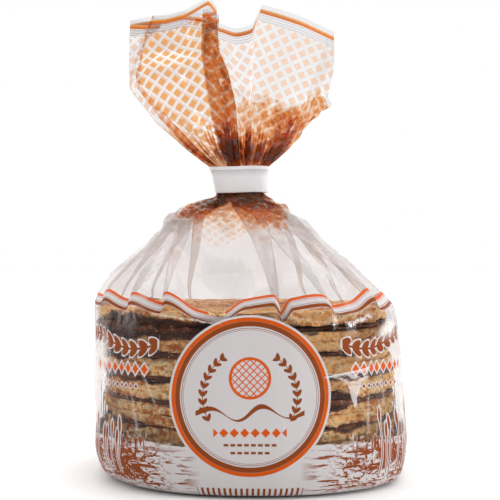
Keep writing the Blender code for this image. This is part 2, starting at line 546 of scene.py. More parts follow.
@dataclass(frozen=True)
class BandFinish:
    """White plastic band, satin, with a faint grain, and grey painted shade along the fold of its hem."""

    white: Colour = (0.82, 0.82, 0.835)
    # grey: painted shade under the hem's fold, and faint cloudy tone elsewhere
    grey: Colour = (0.50, 0.50, 0.52)
    # cells in a metre
    grains: float = 1800.0
    clouds: float = 160.0
    grain_height: float = 0.08 * MM

    def material(self) -> bpy.types.Material:
        """Fine noise roughens it; the mesh's tone paints grey shade on the fold of the hem."""
        g = Graph.of("white_band")
        place = g.object_place()
        grain = g.noise(place, self.grains, 2.0)
        cloudy = g.noise(place, self.clouds, 2.0)
        # worn: painted shade under the hem's fold
        base = g.blend(g.tone("worn") * 0.8 + (cloudy - 0.5) * 0.25, self.white, self.grey)
        normal = g.bump(grain + cloudy * 2.0, self.grain_height, 0.8)
        return g.finished(g.solid(Base_Color=base, Roughness=0.42 + grain * 0.12, Normal=normal))


@dataclass(frozen=True)
class Inks:
    """The colours printed on the film, the tints of light that passes through it, and the colours of painted
    glints, sheen, highlights and shade.
    """

    orange: Colour = (0.660, 0.098, 0.010)
    hem: Colour = (0.740, 0.190, 0.026)
    # amber: the colour of a painted highlight on the fan's orange hem
    amber: Colour = (0.860, 0.440, 0.150)
    brown: Colour = (0.262, 0.060, 0.015)
    white: Colour = (0.645, 0.612, 0.612)
    clear_tint: Colour = (0.935, 0.925, 0.925)
    bag_tint: Colour = (0.882, 0.868, 0.868)
    glaze_tint: Colour = (0.935, 0.720, 0.590)
    core_tint: Colour = (0.910, 0.470, 0.190)
    cream_tint: Colour = (0.920, 0.740, 0.600)
    rust_tint: Colour = (0.835, 0.490, 0.260)
    dusk_tint: Colour = (0.590, 0.300, 0.155)
    # a tint for extra plies in folds, and for painted shade there
    fold_ply_and_shade_tint: Colour = (0.780, 0.735, 0.725)
    rim_tint: Colour = (0.860, 0.850, 0.850)
    # the colour of the painted sheen on the film's sides
    painted_sheen: Colour = (0.880, 0.780, 0.730)
    glint: Colour = (0.950, 0.930, 0.920)
    bare: Colour = (0.900, 0.885, 0.880)
    peach: Colour = (0.850, 0.330, 0.090)
    grey: Colour = (0.450, 0.420, 0.420)


class Ply(Enum):
    """How much film stands behind one another on a stretch, as printed, doubled and heaped shares."""

    BLANK = (0.0, 0.0, 0.0)
    SINGLE = (1.0, 0.0, 0.0)
    DOUBLE = (1.0, 1.0, 0.0)
    HEAPED = (1.0, 0.0, 1.0)


@dataclass(frozen=True)
class Lattice:
    """The printed squares: 2.1 mm wide, on the slant, at a pitch of 3.05 mm.

    Film that lies double shows deeper, narrower squares. Heaped film shows rust squares in cream, which
    break up and darken towards the band.
    """

    inks: Inks = Inks()
    pitch: float = 3.05 * math.sqrt(2.0)
    half: float = 0.325
    doubled_half: float = 0.41

    def squares(self, u: Wire, v: Wire, half: Number) -> Wire:
        """Where both slanted distances are within this share of a cell from its middle."""
        across = abs(((u + v) / self.pitch).share() - 0.5)
        along = abs(((u - v) / self.pitch).share() - 0.5)
        return (half - across).above(0.0, 0.05) & (half - along).above(0.0, 0.05)

    def windows(self, g: Graph, u: Wire, v: Wire, printed: Wire, clear: Colour) -> bpy.types.NodeSocket:
        """The see-through part of the film, tinted by where the squares are and how much film is heaped.

        Args:
            g: The material.
            u: Millimetres along the hem.
            v: Millimetres up the film.
            printed: Where the film carries the lattice.
            clear: The tint of bare film.

        Returns:
            The shader.
        """
        doubled = g.tone("doubled")
        wide = self.squares(u, v, self.half + (self.doubled_half - self.half) * doubled) & printed
        narrow = self.squares(u + 0.30, v + 0.20, self.half - 0.02) & printed & doubled
        flat = g.mixed(wide, g.window(clear), g.window(self.inks.glaze_tint))
        flat = g.mixed(narrow, flat, g.window(self.inks.core_tint))
        place = g.joined(u * 0.42, v * 0.26, 2.0)
        cloudy = g.noise(place, 1.0, 4.0, 0.7)
        chips = g.shards(g.joined(u * 0.62 + cloudy, v * 0.42, 5.0), 1.0)
        heaped = g.tone("heaped")
        deep = g.tone("gather")
        rusty = (wide * 0.46 + cloudy * 1.0 + deep * 0.52 + chips * 0.44).above(0.95, 0.06)
        dusky = (cloudy * 1.2 + wide * 0.16 + deep * 0.80 + chips * 0.55).above(1.46, 0.10)
        stacked = g.mixed(rusty, g.window(self.inks.cream_tint), g.window(self.inks.rust_tint))
        stacked = g.mixed(dusky, stacked, g.window(self.inks.dusk_tint))
        return g.mixed((heaped | (deep * 1.6).above(0.5, 0.5)) & printed, flat, stacked)


class CrumpledFilm:
    """What both stretches of film share: gloss that grows at a slant, and the crumple of thin film."""

    GRAZING = 0.60
    CREASE_HEIGHT = 0.7 * MM

    @classmethod
    def gloss(cls, g: Graph, normal: Any, head_on: float) -> Wire:
        """How much the film mirrors: head_on when faced, rising with the fourth power of the slant."""
        slant = g.add("ShaderNodeLayerWeight", {}, {"Blend": 0.5, "Normal": normal}).outputs["Facing"]
        return head_on + (cls.GRAZING - head_on) * Wire(g, slant) ** 4.0

    @classmethod
    def crumple(cls, g: Graph, u: Wire, v: Wire, strength: Number) -> bpy.types.NodeSocket:
        """A bumped normal from creases that run mostly up the film, of two sizes, and soft waves."""
        warp = g.noise_at(u * 0.05, v * 0.05, 0.0, 2.0) * 6.0
        long_place = g.joined(u * 0.16 + warp * 0.2, v * 0.055 + warp * 0.1)
        long_cells = g.cells(long_place, 1.0, "DISTANCE_TO_EDGE")
        short_cells = g.cells(g.joined(u * 0.33, v * 0.21 + warp * 0.3, 4.0), 1.0)
        waves = g.noise_at(u * 0.11, v * 0.04, 9.0, 3.0)
        height = long_cells.below(0.0, 0.5) * 0.25 + short_cells * 0.25 + waves * 1.1
        return g.bump(height * strength, cls.CREASE_HEIGHT)


@dataclass(frozen=True)
class Crease:
    """A bright crease: its two ends on the flat film, its half width in millimetres, and its shine."""

    start: tuple[float, float]
    end: tuple[float, float]
    half: float
    shine: float

    def line(self, u: Wire, v: Wire, swing: Wire) -> Wire:
        """A mask of the stretch between its ends where the distance aside is under its half width."""
        run_u, run_v = self.end[0] - self.start[0], self.end[1] - self.start[1]
        size = math.hypot(run_u, run_v)
        past_u, past_v = u - self.start[0], v - self.start[1]
        along = (past_u * run_u + past_v * run_v) / size**2
        aside = abs(past_u * (run_v / size) - past_v * (run_u / size) + swing)
        return (aside.below(self.half, self.half * 1.2) & along.between(0.0, 1.0, 0.3)) * self.shine


@dataclass(frozen=True)
class BodyPrint:
    """The layout printed round the body, in millimetres on the flat film, twice round the bag."""

    inks: Inks = Inks()
    label_up: float = 30.5
    label_radius: float = 22.8
    ear_radius: float = 13.2
    waffle_up: float = 5.2
    waffle_radius: float = 5.5
    stripes_up: float = 54.8
    field_top: float = 16.6
    lattice_from: float = 95.0
    mirror_head_on: float = 0.018
    ink_cover: float = 0.965
    creases: tuple[Crease, ...] = (
        Crease((-27.0, 53.2), (-10.0, 51.0), 0.20, 0.75), Crease((-12.0, 51.2), (3.0, 53.6), 0.14, 0.45),
        Crease((12.0, 52.6), (24.0, 50.4), 0.16, 0.50), Crease((30.0, 50.6), (39.0, 52.6), 0.60, 0.80),
        Crease((-35.6, 31.0), (-33.0, 19.0), 0.55, 0.26), Crease((-31.0, 35.5), (-26.5, 27.0), 0.40, 0.24),
        Crease((-46.5, 44.0), (-45.0, 33.0), 0.60, 0.30), Crease((35.6, 30.0), (35.2, 20.0), 0.50, 0.28),
        Crease((41.0, 40.0), (43.5, 27.0), 0.50, 0.30), Crease((26.0, 13.6), (32.0, 16.6), 0.20, 0.60),
    )

    def shine(self, g: Graph, u: Wire, v: Wire) -> Wire:
        """Where a crease throws the light back: thin broken lines, and a flare right of the label.

        The flare hangs from a slanting edge, with holes. Its depth grows to the right, with one long tip.

        Args:
            g: The material.
            u: Millimetres round the film.
            v: Millimetres up the film.

        Returns:
            How much of the film shines, from 0 to 1.
        """
        swing = g.noise_at(u * 0.35, v * 0.35, 77.0, 2.0) - 0.5
        fleck = g.noise_at(u * 0.8, v * 0.8, 55.0, 2.0).above(0.42, 0.25)
        lines = [crease.line(u, v, swing * 1.2) for crease in self.creases]
        total = either(lines) * (0.25 + fleck * 0.75)
        past = u - 21.4
        tip = (u + swing * 1.2 - 30.4) / 1.5
        deep = past * 0.15 + 9.0 / (1.0 + tip * tip)
        hang = 36.0 + past * 0.13 - v + swing * 0.9
        holes = g.noise_at(u * 0.30, v * 0.60, 61.0, 2.0).above(0.53, 0.10)
        holes = holes & hang.between(0.7, 3.8, 0.8)
        flare = hang.above(0.0, 0.25) & (deep - hang).above(0.0, 0.8) & past.between(0.0, 14.3, 0.8)
        rim = hang.between(0.0, 0.5, 0.3) & past.between(0.0, 15.0, 1.5)
        return total | (flare * (0.62 - holes * 0.55)) | (rim * 0.85)

    def stripes(self, v: Wire) -> Masks:
        """White, orange and brown masks of the band of stripes round the shoulder."""
        up = v - self.stripes_up
        white = up.between(-0.1, 3.95, 0.25)
        orange = up.between(3.1, 4.05, 0.2) | up.between(2.72, 2.86, 0.12)
        brown = up.between(0.0, 1.0, 0.2) | up.between(1.28, 1.42, 0.12)
        return white, orange, brown

    @staticmethod
    def ear(along: Wire, side: Wire, pitch: float, length: float, width: float) -> Wire:
        """A grass ear: pairs of leaf ovals, turned by the 3-4-5 triangle's angle, along a stem.

        Args:
            along: Distance along the stem.
            side: Distance from the stem.
            pitch: From one pair of leaves to the next.
            length: Half the length of a leaf.
            width: Half its width.

        Returns:
            The sum of the squares of length and width shares: below 1 inside a leaf, more further out.
        """
        cell = along.repeated(pitch)
        out = abs(side) - 0.95 * width
        turned_x = cell * 0.80 + out * 0.60
        turned_y = out * 0.80 - cell * 0.60
        return (turned_x / length) ** 2.0 + (turned_y / width) ** 2.0

    def label(self, u: Wire, v: Wire) -> Masks:
        """White, orange and brown masks of the round label and what stands in it."""
        up = v - self.label_up
        away = (u * u + up * up) ** 0.5
        inner = self.label_radius
        white = away.below(inner, 0.15)
        orange = away.between(inner - 1.75, inner - 0.65, 0.12)
        brown = away.between(inner - 3.15, inner - 1.75, 0.12)
        for outer, thick in ((3.55, 0.17), (4.03, 0.12)):
            brown = brown | away.between(inner - outer - thick, inner - outer, 0.1)
        # a round waffle in outline, with its lattice
        disc_up = up - self.waffle_up
        disc = (u * u + disc_up * disc_up) ** 0.5
        across = abs(((u + disc_up) / 2.1).share() - 0.5)
        along = abs(((u - disc_up) / 2.1).share() - 0.5)
        rim = self.waffle_radius
        grid = (across.below(0.11, 0.08) | along.below(0.11, 0.08)) & disc.below(rim - 0.3, 0.1)
        orange = orange | disc.between(rim - 0.4, rim + 0.4, 0.1) | grid
        # two grass ears that curve round the waffle
        turn = up.turned_from(abs(u))
        arc = (turn + 0.55) * self.ear_radius
        ear = self.ear(arc, away - self.ear_radius, 2.35, 1.15, 0.52)
        reach = turn.between(-0.55, 1.02, 0.01)
        stem = away.between(self.ear_radius - 0.1, self.ear_radius + 0.12, 0.1)
        brown = brown | (ear.below(1.0, 0.25) & reach) | (stem & reach)
        # a long flourish, thick and thin, then a row of diamonds and two rows of dashes
        swing = (u * 0.42).sine() * (2.3 - abs(u) * 0.09)
        thick = 0.46 + (u * 0.42 + 0.9).sine() * 0.3
        wave = (abs(up + 4.6 - swing) - thick).below(0.0, 0.12) & abs(u).below(15.2, 0.1)
        brown = brown | wave
        diamond = abs(u.repeated(2.9)) + abs(up + 10.0)
        orange = orange | (diamond.below(1.3, 0.12) & abs(u).below(10.15, 0.05))
        dash = abs(u.repeated(1.9)).below(0.66, 0.1)
        places = ((13.4, 7.6), (15.6, 5.7))
        rows = [abs(up + down).below(0.36, 0.1) & abs(u).below(half, 0.05) for down, half in places]
        brown = brown | (dash & either(rows))
        return white, orange, brown

    def side_mark(self, u: Wire, v: Wire) -> Masks:
        """White, orange and brown masks of the marks beside the label: a grass ear, diamonds and dashes."""
        along = abs(u) - 26.0
        bend = (along * 0.16).sine() * 1.8
        side = v - 45.0 + bend
        ear = self.ear(along, side, 3.6, 1.9, 1.0)
        reach = along.between(0.6, 36.0, 0.1)
        stem = abs(side).below(0.32, 0.12)
        brown = (ear.below(1.0, 0.2) | stem) & reach
        white = (ear.below(1.75, 0.3) | abs(side).below(0.8, 0.15)) & along.between(0.0, 36.6, 0.2)
        diamond = abs(along.repeated(3.2)) + abs(v - 37.6) * 0.75
        row = along.between(3.2, 28.8, 0.1)
        orange = diamond.below(1.2, 0.12) & row
        white = white | (diamond.below(1.75, 0.12) & row)
        dots = abs(along.repeated(2.2)) + abs(v - 32.6)
        short = along.between(6.6, 24.2, 0.1)
        brown = brown | (dots.below(0.62, 0.12) & short)
        white = white | (dots.below(1.05, 0.12) & short)
        return white, orange, brown

    def reeds(self, g: Graph, u: Wire, v: Wire) -> tuple[Wire, Wire]:
        """Brown and white masks of bulrushes beside the label: stems with long heads, of many heights."""
        brown, white = [], []
        for pitch, shift in ((4.3, 0.0), (6.1, 2.2)):
            step = (u + shift) / pitch
            chance = g.noise_at((step - step.share()) * 3.7, shift, 8.0, 0.0)
            tall = 10.0 + chance * 22.0
            aside = abs((step.share() - 0.5) * pitch + (v * 0.35 + chance * 9.0).sine() * 0.35)
            rise = v - tall
            head = (aside / 0.62) ** 2.0 + (rise / 2.3) ** 2.0
            edge = (aside / 1.10) ** 2.0 + (rise / 2.9) ** 2.0
            brown.append(head.below(1.0, 0.4) | (aside.below(0.20, 0.1) & rise.below(0.0, 0.2)))
            white.append(edge.below(1.0, 0.3) | (aside.below(0.55, 0.15) & rise.below(0.0, 0.2)))
        place = abs(u).between(39.0, 74.0, 1.0) & v.above(7.0, 1.0)
        return either(brown) & place, either(white) & place

    def field(self, g: Graph, u: Wire, v: Wire) -> tuple[Wire, Wire]:
        """White and brown masks of the print's foot: ripples, banks of grass and bulrushes on white."""
        edge = g.noise_at(u * 0.12, 0.0, 3.0, 3.0)
        top = v - (edge - 0.5) * 4.0
        white = top.below(self.field_top, 0.3)
        aside = abs(u)
        long = g.noise_at(u * 0.10, v * 0.95, 1.0, 3.0, 0.6)
        ripples = long.above(0.555, 0.02) & aside.between(17.0, 52.0, 6.0) & v.between(3.2, 15.0, 1.5)
        banks = g.noise_at(u * 0.085, v * 0.20, 12.0, 3.0, 0.6)
        bank = (banks + (aside - 40.0) * 0.004).above(0.50, 0.03)
        bank = bank & aside.between(25.5, 79.0, 4.0) & v.between(5.0, 15.4, 1.2)
        sparks = g.noise_at(u * 0.75, v * 0.75, 16.0, 3.0, 0.7).above(0.57, 0.02)
        strokes = g.noise_at(u * 0.55 + v * 0.25, v * 0.85, 6.0, 4.0, 0.7).above(0.545, 0.02)
        strokes = strokes & aside.between(24.0, 79.0, 6.0) & v.between(2.0, 16.4, 2.0)
        blades = g.noise_at(u * 1.05, v * 0.16 + u * 0.1, 31.0, 2.0, 0.6)
        tips = v - g.noise_at(u * 0.55, 0.0, 40.0, 2.0) * 9.0
        grass = blades.above(0.53, 0.03) & aside.between(30.0, 79.0, 3.0) & tips.between(6.5, 14.0, 1.0)
        rushes, halo = self.reeds(g, u, v)
        bars = abs((u / 1.62).share() - 0.5).below(0.22, 0.05)
        bars = bars & aside.below(15.3, 0.2) & v.between(0.9, 4.9, 0.15)
        inked = (bank & (1 - sparks)) | ripples | strokes | grass
        inked = (inked & (1 - halo)) | rushes
        return white | halo, inked | bars

    def rosette(self, g: Graph, around: Wire, u: Wire, v: Wire) -> Wire:
        """Where the lattice starts under the band: above a ragged, lobed edge, lowest right of the middle.

        Args:
            g: The material.
            around: Millimetres round the film.
            u: Millimetres from the middle of the nearer label.
            v: Millimetres up the film.

        Returns:
            The mask.
        """
        ragged = g.noise_at(around * 0.11, v * 0.05, 7.0, 4.0, 0.65)
        aside = (u - 6.0) * 0.055
        lobes = g.cells(g.joined(around * 0.10, v * 0.02, 3.0), 1.0)
        reach = v + (ragged - 0.5) * 18.0 + (0.5 - lobes) * 10.0 + 9.0 / (1.0 + aside * aside)
        reach = reach - abs(u).above(50.0, 16.0) * 9.0
        return reach.above(self.lattice_from, 0.6)

    def inked(self, g: Graph, u: Wire, v: Wire) -> tuple[bpy.types.NodeSocket, Wire]:
        """The colour of the opaque inks, and where there is any."""
        white, orange, brown = self.stripes(v)
        for masks in (self.label(u, v), self.side_mark(u, v)):
            white, orange, brown = white | masks[0], orange | masks[1], brown | masks[2]
        ground, strokes = self.field(g, u, v)
        free = (u * u + (v - self.label_up) * (v - self.label_up)).above(self.label_radius**2, 4.0)
        white, brown = white | ground, brown | (strokes & free)
        ink = g.blend(orange, self.inks.white, self.inks.orange)
        return g.blend(brown, ink, self.inks.brown), white | orange | brown

    def material(self) -> bpy.types.Material:
        """Opaque inks and see-through glaze over clear glossy film."""
        g = Graph.of("printed_film")
        around, v = g.film_place()
        u = ((around + HALF_GIRTH / 2) / HALF_GIRTH).share() * HALF_GIRTH - HALF_GIRTH / 2
        normal = CrumpledFilm.crumple(g, around, v, g.tone("slack"))
        mirror = CrumpledFilm.gloss(g, normal, self.mirror_head_on)
        ink, inked = self.inked(g, u, v)
        printed = inked * self.ink_cover
        above = self.rosette(g, around, u, v)
        lattice = Lattice()
        squares = lattice.squares(around, v, lattice.half) & above
        streaks = g.noise_at(around * 0.30, v * 0.10, 31.0, 4.0, 0.7)
        glare = (g.tone("glare") * streaks.above(0.42, 0.30) * 1.6).above(0.5, 1.0) * 0.85
        glare = glare | (self.shine(g, around, v) * 0.85)
        base = g.blend(inked, self.inks.bare, ink)
        base = g.blend(squares * (1 - printed), base, self.inks.peach)
        # painted sheen: dull pale patches that stand in for the film's gloss, with hazy as their mask.
        painted_sheen = g.tone("painted_sheen") * (0.7 + streaks * 0.6)
        hazy = (painted_sheen * 8.0).above(0.5, 1.0)
        cover = printed | mirror | (squares * 0.10) | g.tone("veil") | glare | painted_sheen
        base = g.blend(glare * 0.8, base, self.inks.glint)
        base = g.blend(hazy * (1 - printed), base, self.inks.painted_sheen)
        metal = (1 - (printed | (glare * 2.0) | hazy)) * (1 - squares * 0.8)
        metal = metal * (1 - g.tone("shoulder") * 0.35)
        dull = 0.12 + printed * 0.3
        skin = g.solid(Base_Color=base, Metallic=metal, Roughness=dull, Normal=normal,
                       Specular_IOR_Level=0.03)
        through = lattice.windows(g, around, v, above, self.inks.bag_tint)
        warp = g.noise_at(around * 0.03, v * 0.03, 5.0, 2.0) * 1.5
        web = g.cells(g.joined(around * 0.075 + warp, v * 0.030 + warp * 0.4), 1.0, "DISTANCE_TO_EDGE")
        facets = g.shards(g.joined(around * 0.075 + v * 0.03, v * 0.045 - around * 0.01, 2.0), 1.0)
        shoulder = g.tone("shoulder")
        # folded: a grey tint where film lies in extra plies in folds, web lines and facets, and painted shade
        # there.
        folded = g.tone("fold") + web.below(0.0, 0.035) * shoulder * 0.30 + (facets * 0.30) * shoulder
        through = g.mixed(folded, through, g.window(self.inks.fold_ply_and_shade_tint))
        return g.finished(g.mixed(cover, through, skin))


@dataclass(frozen=True)
class FanPrint:
    """The film above the band: orange lattice, and stripes along the hem in millimetres below the edge."""

    inks: Inks = Inks()
    hem_depth: float = 5.05
    orange_from: float = 1.35
    orange_to: float = 2.75
    lines_from: tuple[float, ...] = (3.05, 3.90, 4.70)
    line_width: float = 0.35

    def material(self) -> bpy.types.Material:
        """See-through orange squares and clear lines; broken and dark where film lies gathered."""
        g = Graph.of("lattice_film")
        u, v = g.film_place()
        down = 0 - v
        lattice = Lattice()
        normal = CrumpledFilm.crumple(g, u, v, g.tone("slack"))
        mirror = CrumpledFilm.gloss(g, normal, 0.04)
        printed = g.tone("printed") & down.above(self.hem_depth + 0.05, 0.15)
        squares = lattice.squares(u, v, lattice.half) & printed
        orange = down.between(self.orange_from, self.orange_to, 0.2)
        lines = either([down.between(start, start + self.line_width, 0.2) for start in self.lines_from])
        rim = down.between(-1.0, self.hem_depth, 0.2)
        base = g.blend(squares, self.inks.bare, self.inks.peach)
        base = g.blend(orange, base, self.inks.hem)
        # a painted highlight: a yellow line along the top edge of the orange hem stripe.
        base = g.blend(down.between(self.orange_from, self.orange_from + 0.5, 0.35), base, self.inks.amber)
        base = g.blend(lines, base, self.inks.grey)
        inked = (orange * 0.95) | (squares * 0.08) | (lines * 0.45) | (g.tone("veil") * (1 - rim * 0.7))
        gather = g.tone("gather")
        metal = 1 - (squares | orange | lines | rim | gather)
        dull = 0.12 + orange * 0.2
        skin = g.solid(Base_Color=base, Metallic=metal, Roughness=dull, Normal=normal, Specular_IOR_Level=0.1)
        through = lattice.windows(g, u, v, printed, self.inks.clear_tint)
        through = g.mixed(rim, through, g.window(self.inks.rim_tint))
        shown = inked | (mirror * (1 - gather * 0.6))
        return g.finished(g.mixed(shown, through, skin))


# ---------------------------------------------------------------- the waffles


@dataclass(frozen=True)
class Spill:
    """Where syrup ran out over the rim: its direction, its half width as an angle, and how much."""

    direction: float
    spread: float
    amount: float

    def lobe(self, angle: Array) -> Array:
        """A bell curve of the angle from its direction, brought between minus and plus half a turn."""
        away = np.angle(np.exp(1j * (angle - self.direction)))
        return hump(away, 0.0, self.spread) * self.amount


@dataclass(frozen=True)
class Stroopwafel:
    """One syrup waffle: two thin baked wafers with a layer of caramel syrup between them.

    Attributes:
        number: Its place in the stack, from 1 at the bottom.
        low: Height of its lower face.
        wafer_depth: Thickness of each wafer.
        syrup_depth: Thickness of the syrup in the middle.
        radius: Of the cut rim.
        middle: Its middle's x and y.
        tilt: Its rise for each metre along x and y.
        spill: Where its syrup ran out.
        shows_top: Whether its upper face shows, and so has the iron's lattice in fine detail.
        around: Points round the rim.
    """

    number: int
    low: float
    wafer_depth: float
    syrup_depth: float
    radius: float
    middle: tuple[float, float]
    tilt: tuple[float, float]
    spill: Spill
    shows_top: bool = False
    around: int = 640

    LEAST_HEIGHT = 0.12 * MM
    RIM_ROWS = 13
    FACE_ROWS = 78
    RIM_CELLS = 160
    SYRUP_CELLS = 96
    TOP_SWELL = 0.9 * MM
    LATTICE_PITCH = 6.4 * MM
    LATTICE_DEPTH = 0.75 * MM
    CORNER_HEIGHT = 2.6 * MM
    CORNER_INSET = 3.0 * MM
    # in millimetres: relief of the crumbs, of clumps and of the whole rim, and how far its edges are worn
    CRUMBS, CLUMPS, WANDER = 0.46, 0.45, 0.85
    SEAM_WORN, FACE_WORN, SEAM_WAVE = 1.0, 0.35, 0.42
    # in millimetres: width and depth of the face's ripples and of its lumps
    RIPPLE, LUMP = (9, 0.32), (1.1, 0.12)

    def settled(self, points: Array) -> Array:
        """Leans the waffle by its tilt, moves it to its middle, and keeps it on top of the bag's base."""
        placed = points.copy()
        placed[..., 2] += self.tilt[0] * points[..., 0] + self.tilt[1] * points[..., 1]
        placed[..., 0] += self.middle[0]
        placed[..., 1] += self.middle[1]
        placed[..., 2] = np.maximum(placed[..., 2], self.LEAST_HEIGHT)
        return placed

    def turned(self, points: Array, low: float, high: float) -> Sheet:
        """These rings in their place, closed at the middle of the lower and the upper face."""
        poles = self.settled(np.array([[0.0, 0.0, low], [0.0, 0.0, high]]))
        return Sheet(self.settled(points), low_pole=poles[0], high_pole=poles[1])

    def profile(self, depth: float, fine: bool) -> tuple[Array, Array, Array]:
        """A wafer's section: out along its lower face, up its rim, and in along its upper face.

        Args:
            depth: The wafer's thickness.
            fine: Whether the upper face has rows for the iron's lattice.

        Returns:
            Each row's distance from the middle, its height, and 1 where it is on the rim.
        """
        lower = np.array([0.10, 0.45, 0.75, 0.88, 0.95])
        upper = np.array([0.985, 0.95, 0.88, 0.75, 0.45, 0.10])
        if fine:
            upper = np.linspace(0.992, 0.03, self.FACE_ROWS)
        rise = np.linspace(0.0, 1.0, self.RIM_ROWS)
        reach = self.radius * np.concatenate([lower, np.ones(self.RIM_ROWS), upper])
        height = depth * np.concatenate([0 * lower, rise, 1 + 0 * upper])
        on_rim = np.concatenate([0 * lower, np.ones(self.RIM_ROWS), 0 * upper])
        return reach, height, on_rim

    def wafer(self, low: float, depth: float, baked_up: bool, seed: int) -> Sheet:
        """One wafer as a turned section.

        The rim's radius is the cut circle plus value noise of three sizes, less the rounding of the baked
        corner. Where the baked face is the upper one, it is pressed with a lattice of shallow square hollows.

        Args:
            low: Height of its lower face.
            depth: Its thickness.
            baked_up: Whether the baked face is the upper one.
            seed: Of its crumbs.

        Returns:
            The closed wafer.
        """
        grain = Grain(seed)
        angle = np.arange(self.around) * TURN / self.around
        reach, height, on_rim = self.profile(depth, self.shows_top and baked_up)
        near_rim = eased((reach / self.radius - 0.90) / 0.10)
        cells = self.RIM_CELLS
        turn = np.broadcast_to(angle * cells / TURN, (len(reach), self.around))
        up = np.broadcast_to((height / MM)[:, None], turn.shape)
        crumb = grain.layered(turn, up * 0.9 + 3.0, 3, cells)
        shared = Grain(500 + self.number + int(baked_up))
        coarse = shared.layered(turn * 0.125, 0 * up + 60.0, 3, cells // 8)
        level = height / depth
        baked = level if baked_up else 1.0 - level
        worn = 0.6 + 0.4 * grain.layered(turn * 0.1, 0 * up + 40.0, 2, cells // 10)
        seam_share = np.clip(1.0 - baked, 0, 1)[:, None]
        rounding = self.SEAM_WORN * worn * MM * seam_share**3
        rounding = rounding + self.FACE_WORN * MM * np.clip(baked, 0, 1)[:, None] ** 5
        medium = grain.layered(turn * 0.5, up * 0.6 + 25.0, 2, cells // 2)
        rough = crumb * self.CRUMBS * MM + medium * self.CLUMPS * MM - rounding
        radial = reach[:, None] + on_rim[:, None] * rough
        radial = radial + near_rim[:, None] * coarse * self.WANDER * MM
        # the lowest rim draws in, to stay inside the rounded corner of the bag
        corner = np.clip(1.0 - (low + height) / self.CORNER_HEIGHT, 0.0, 1.0)
        radial = radial - (near_rim * corner**1.3 * self.CORNER_INSET)[:, None]
        ragged = grain.layered(turn * 0.32, 0 * up + 70.0, 3, cells * 8 // 25)
        x, y = radial * np.cos(angle), radial * np.sin(angle)
        toward_seam = -1.0 if baked_up else 1.0
        z = low + height[:, None]
        z = z + toward_seam * near_rim[:, None] * seam_share**2 * self.SEAM_WAVE * MM * ragged
        ripple = grain.layered(x / (self.RIPPLE[0] * MM) + 100.0, y / (self.RIPPLE[0] * MM) + 100.0, 3)
        lumps = grain.layered(x / (self.LUMP[0] * MM) + 60.0, y / (self.LUMP[0] * MM) + 60.0, 2)
        face = (height == 0.0) | (height == depth)
        z += (ripple * self.RIPPLE[1] * MM + lumps * self.LUMP[1] * MM) * face[:, None]
        pressed = np.zeros_like(x)
        if baked_up:
            upper = (height == depth) & (reach < 0.995 * self.radius)
            pressed = self.pressed(x, y) * upper[:, None]
            z -= self.LATTICE_DEPTH * pressed
        sheet = self.turned(np.stack([x, y, z], -1), low, low + depth)
        skin = (height == (depth if baked_up else 0.0))[:, None] * (0.4 if self.shows_top else 1.0)
        # leftward paints shade on the left side of every waffle, the side away from the stronger lamps,
        # through the browned and soaked tones.
        leftward = eased(0.5 - np.cos(angle)[None, :])
        browned_and_shaded = skin * 0.75 - pressed * 0.30 + coarse * 0.4 + 0.12 + 0.22 * leftward
        # browner towards the syrup seam: painted shade in the rounded groove beside the syrup.
        browned_and_shaded = browned_and_shaded + 0.50 * seam_share**2.5
        sheet.tones["browned_and_shaded"] = np.clip(browned_and_shaded, 0, 1)
        # the rim's relief as a tone; the crumb's colour follows it, paler on lumps and browner between them,
        # as painted light and shade.
        sheet.tones["crumb"] = on_rim[:, None] * (crumb + 0.5 * medium)
        seam_side = 1.0 - baked[:, None]
        lobe = self.spill.lobe(angle[None, :])
        dribble = grain.layered(turn * 0.25 + 8.0, up * 0.15 + 90.0, 2, cells // 4)
        soaked = (seam_side - 0.90 + lobe + dribble * 0.36 + 0.10 * leftward) * 2.6
        sheet.tones["soaked"] = np.clip(soaked, 0, 1) * on_rim[:, None]
        return sheet

    @classmethod
    def pressed(cls, x: Array, y: Array) -> Array:
        """The iron's lattice, on the slant: near 1 in the square hollows, 0 on the ridges between them."""
        across = np.abs(((x * 0.8 + y * 0.6) / cls.LATTICE_PITCH) % 1.0 - 0.5)
        along = np.abs(((y * 0.8 - x * 0.6) / cls.LATTICE_PITCH) % 1.0 - 0.5)
        return eased((0.42 - np.maximum(across, along)) / 0.14)

    def syrup(self, low: float, seed: int) -> Sheet:
        """The syrup as a flat round with a lumpy, bulging edge that runs out where it spilled.

        The edge is half an oval in section. Value noise and the lobe of the spill vary its half height and
        its reach.

        Args:
            low: Height of its lower face.
            seed: Of its lumps.

        Returns:
            The closed layer.
        """
        grain = Grain(seed)
        angle = np.arange(self.around) * TURN / self.around
        rows = 9
        bend = np.linspace(-math.pi / 2, math.pi / 2, rows)
        cells = self.SYRUP_CELLS
        turn = np.broadcast_to(angle * cells / TURN, (rows, self.around))
        along = np.broadcast_to(bend[:, None], turn.shape)
        lumps = grain.layered(turn, along + 5.0, 3, cells)
        broad = grain.layered(turn / 8.0, 0 * along + 40.0, 2, cells // 8)
        lobe = self.spill.lobe(angle)
        swell = 0.75 + 0.55 * broad + 0.9 * lobe + 0.55 * eased(0.3 - np.cos(angle))
        half = self.syrup_depth / 2 * swell
        out = self.radius + 0.55 * MM * broad + 0.45 * MM * lumps + lobe * 0.5 * MM - 0.45 * MM
        edge = out + np.cos(along) * half * 0.55
        z = low + self.syrup_depth / 2 + np.sin(along) * half + 0.12 * MM * lumps
        inner = 0.6 * self.radius
        ring = np.stack([edge * np.cos(angle), edge * np.sin(angle), z], -1)
        flat = np.stack([inner * np.cos(angle), inner * np.sin(angle), 0 * angle], -1)
        lower, upper = flat.copy(), flat.copy()
        lower[:, 2], upper[:, 2] = low, low + self.syrup_depth
        return self.turned(np.concatenate([lower[None], ring, upper[None]]), low, low + self.syrup_depth)

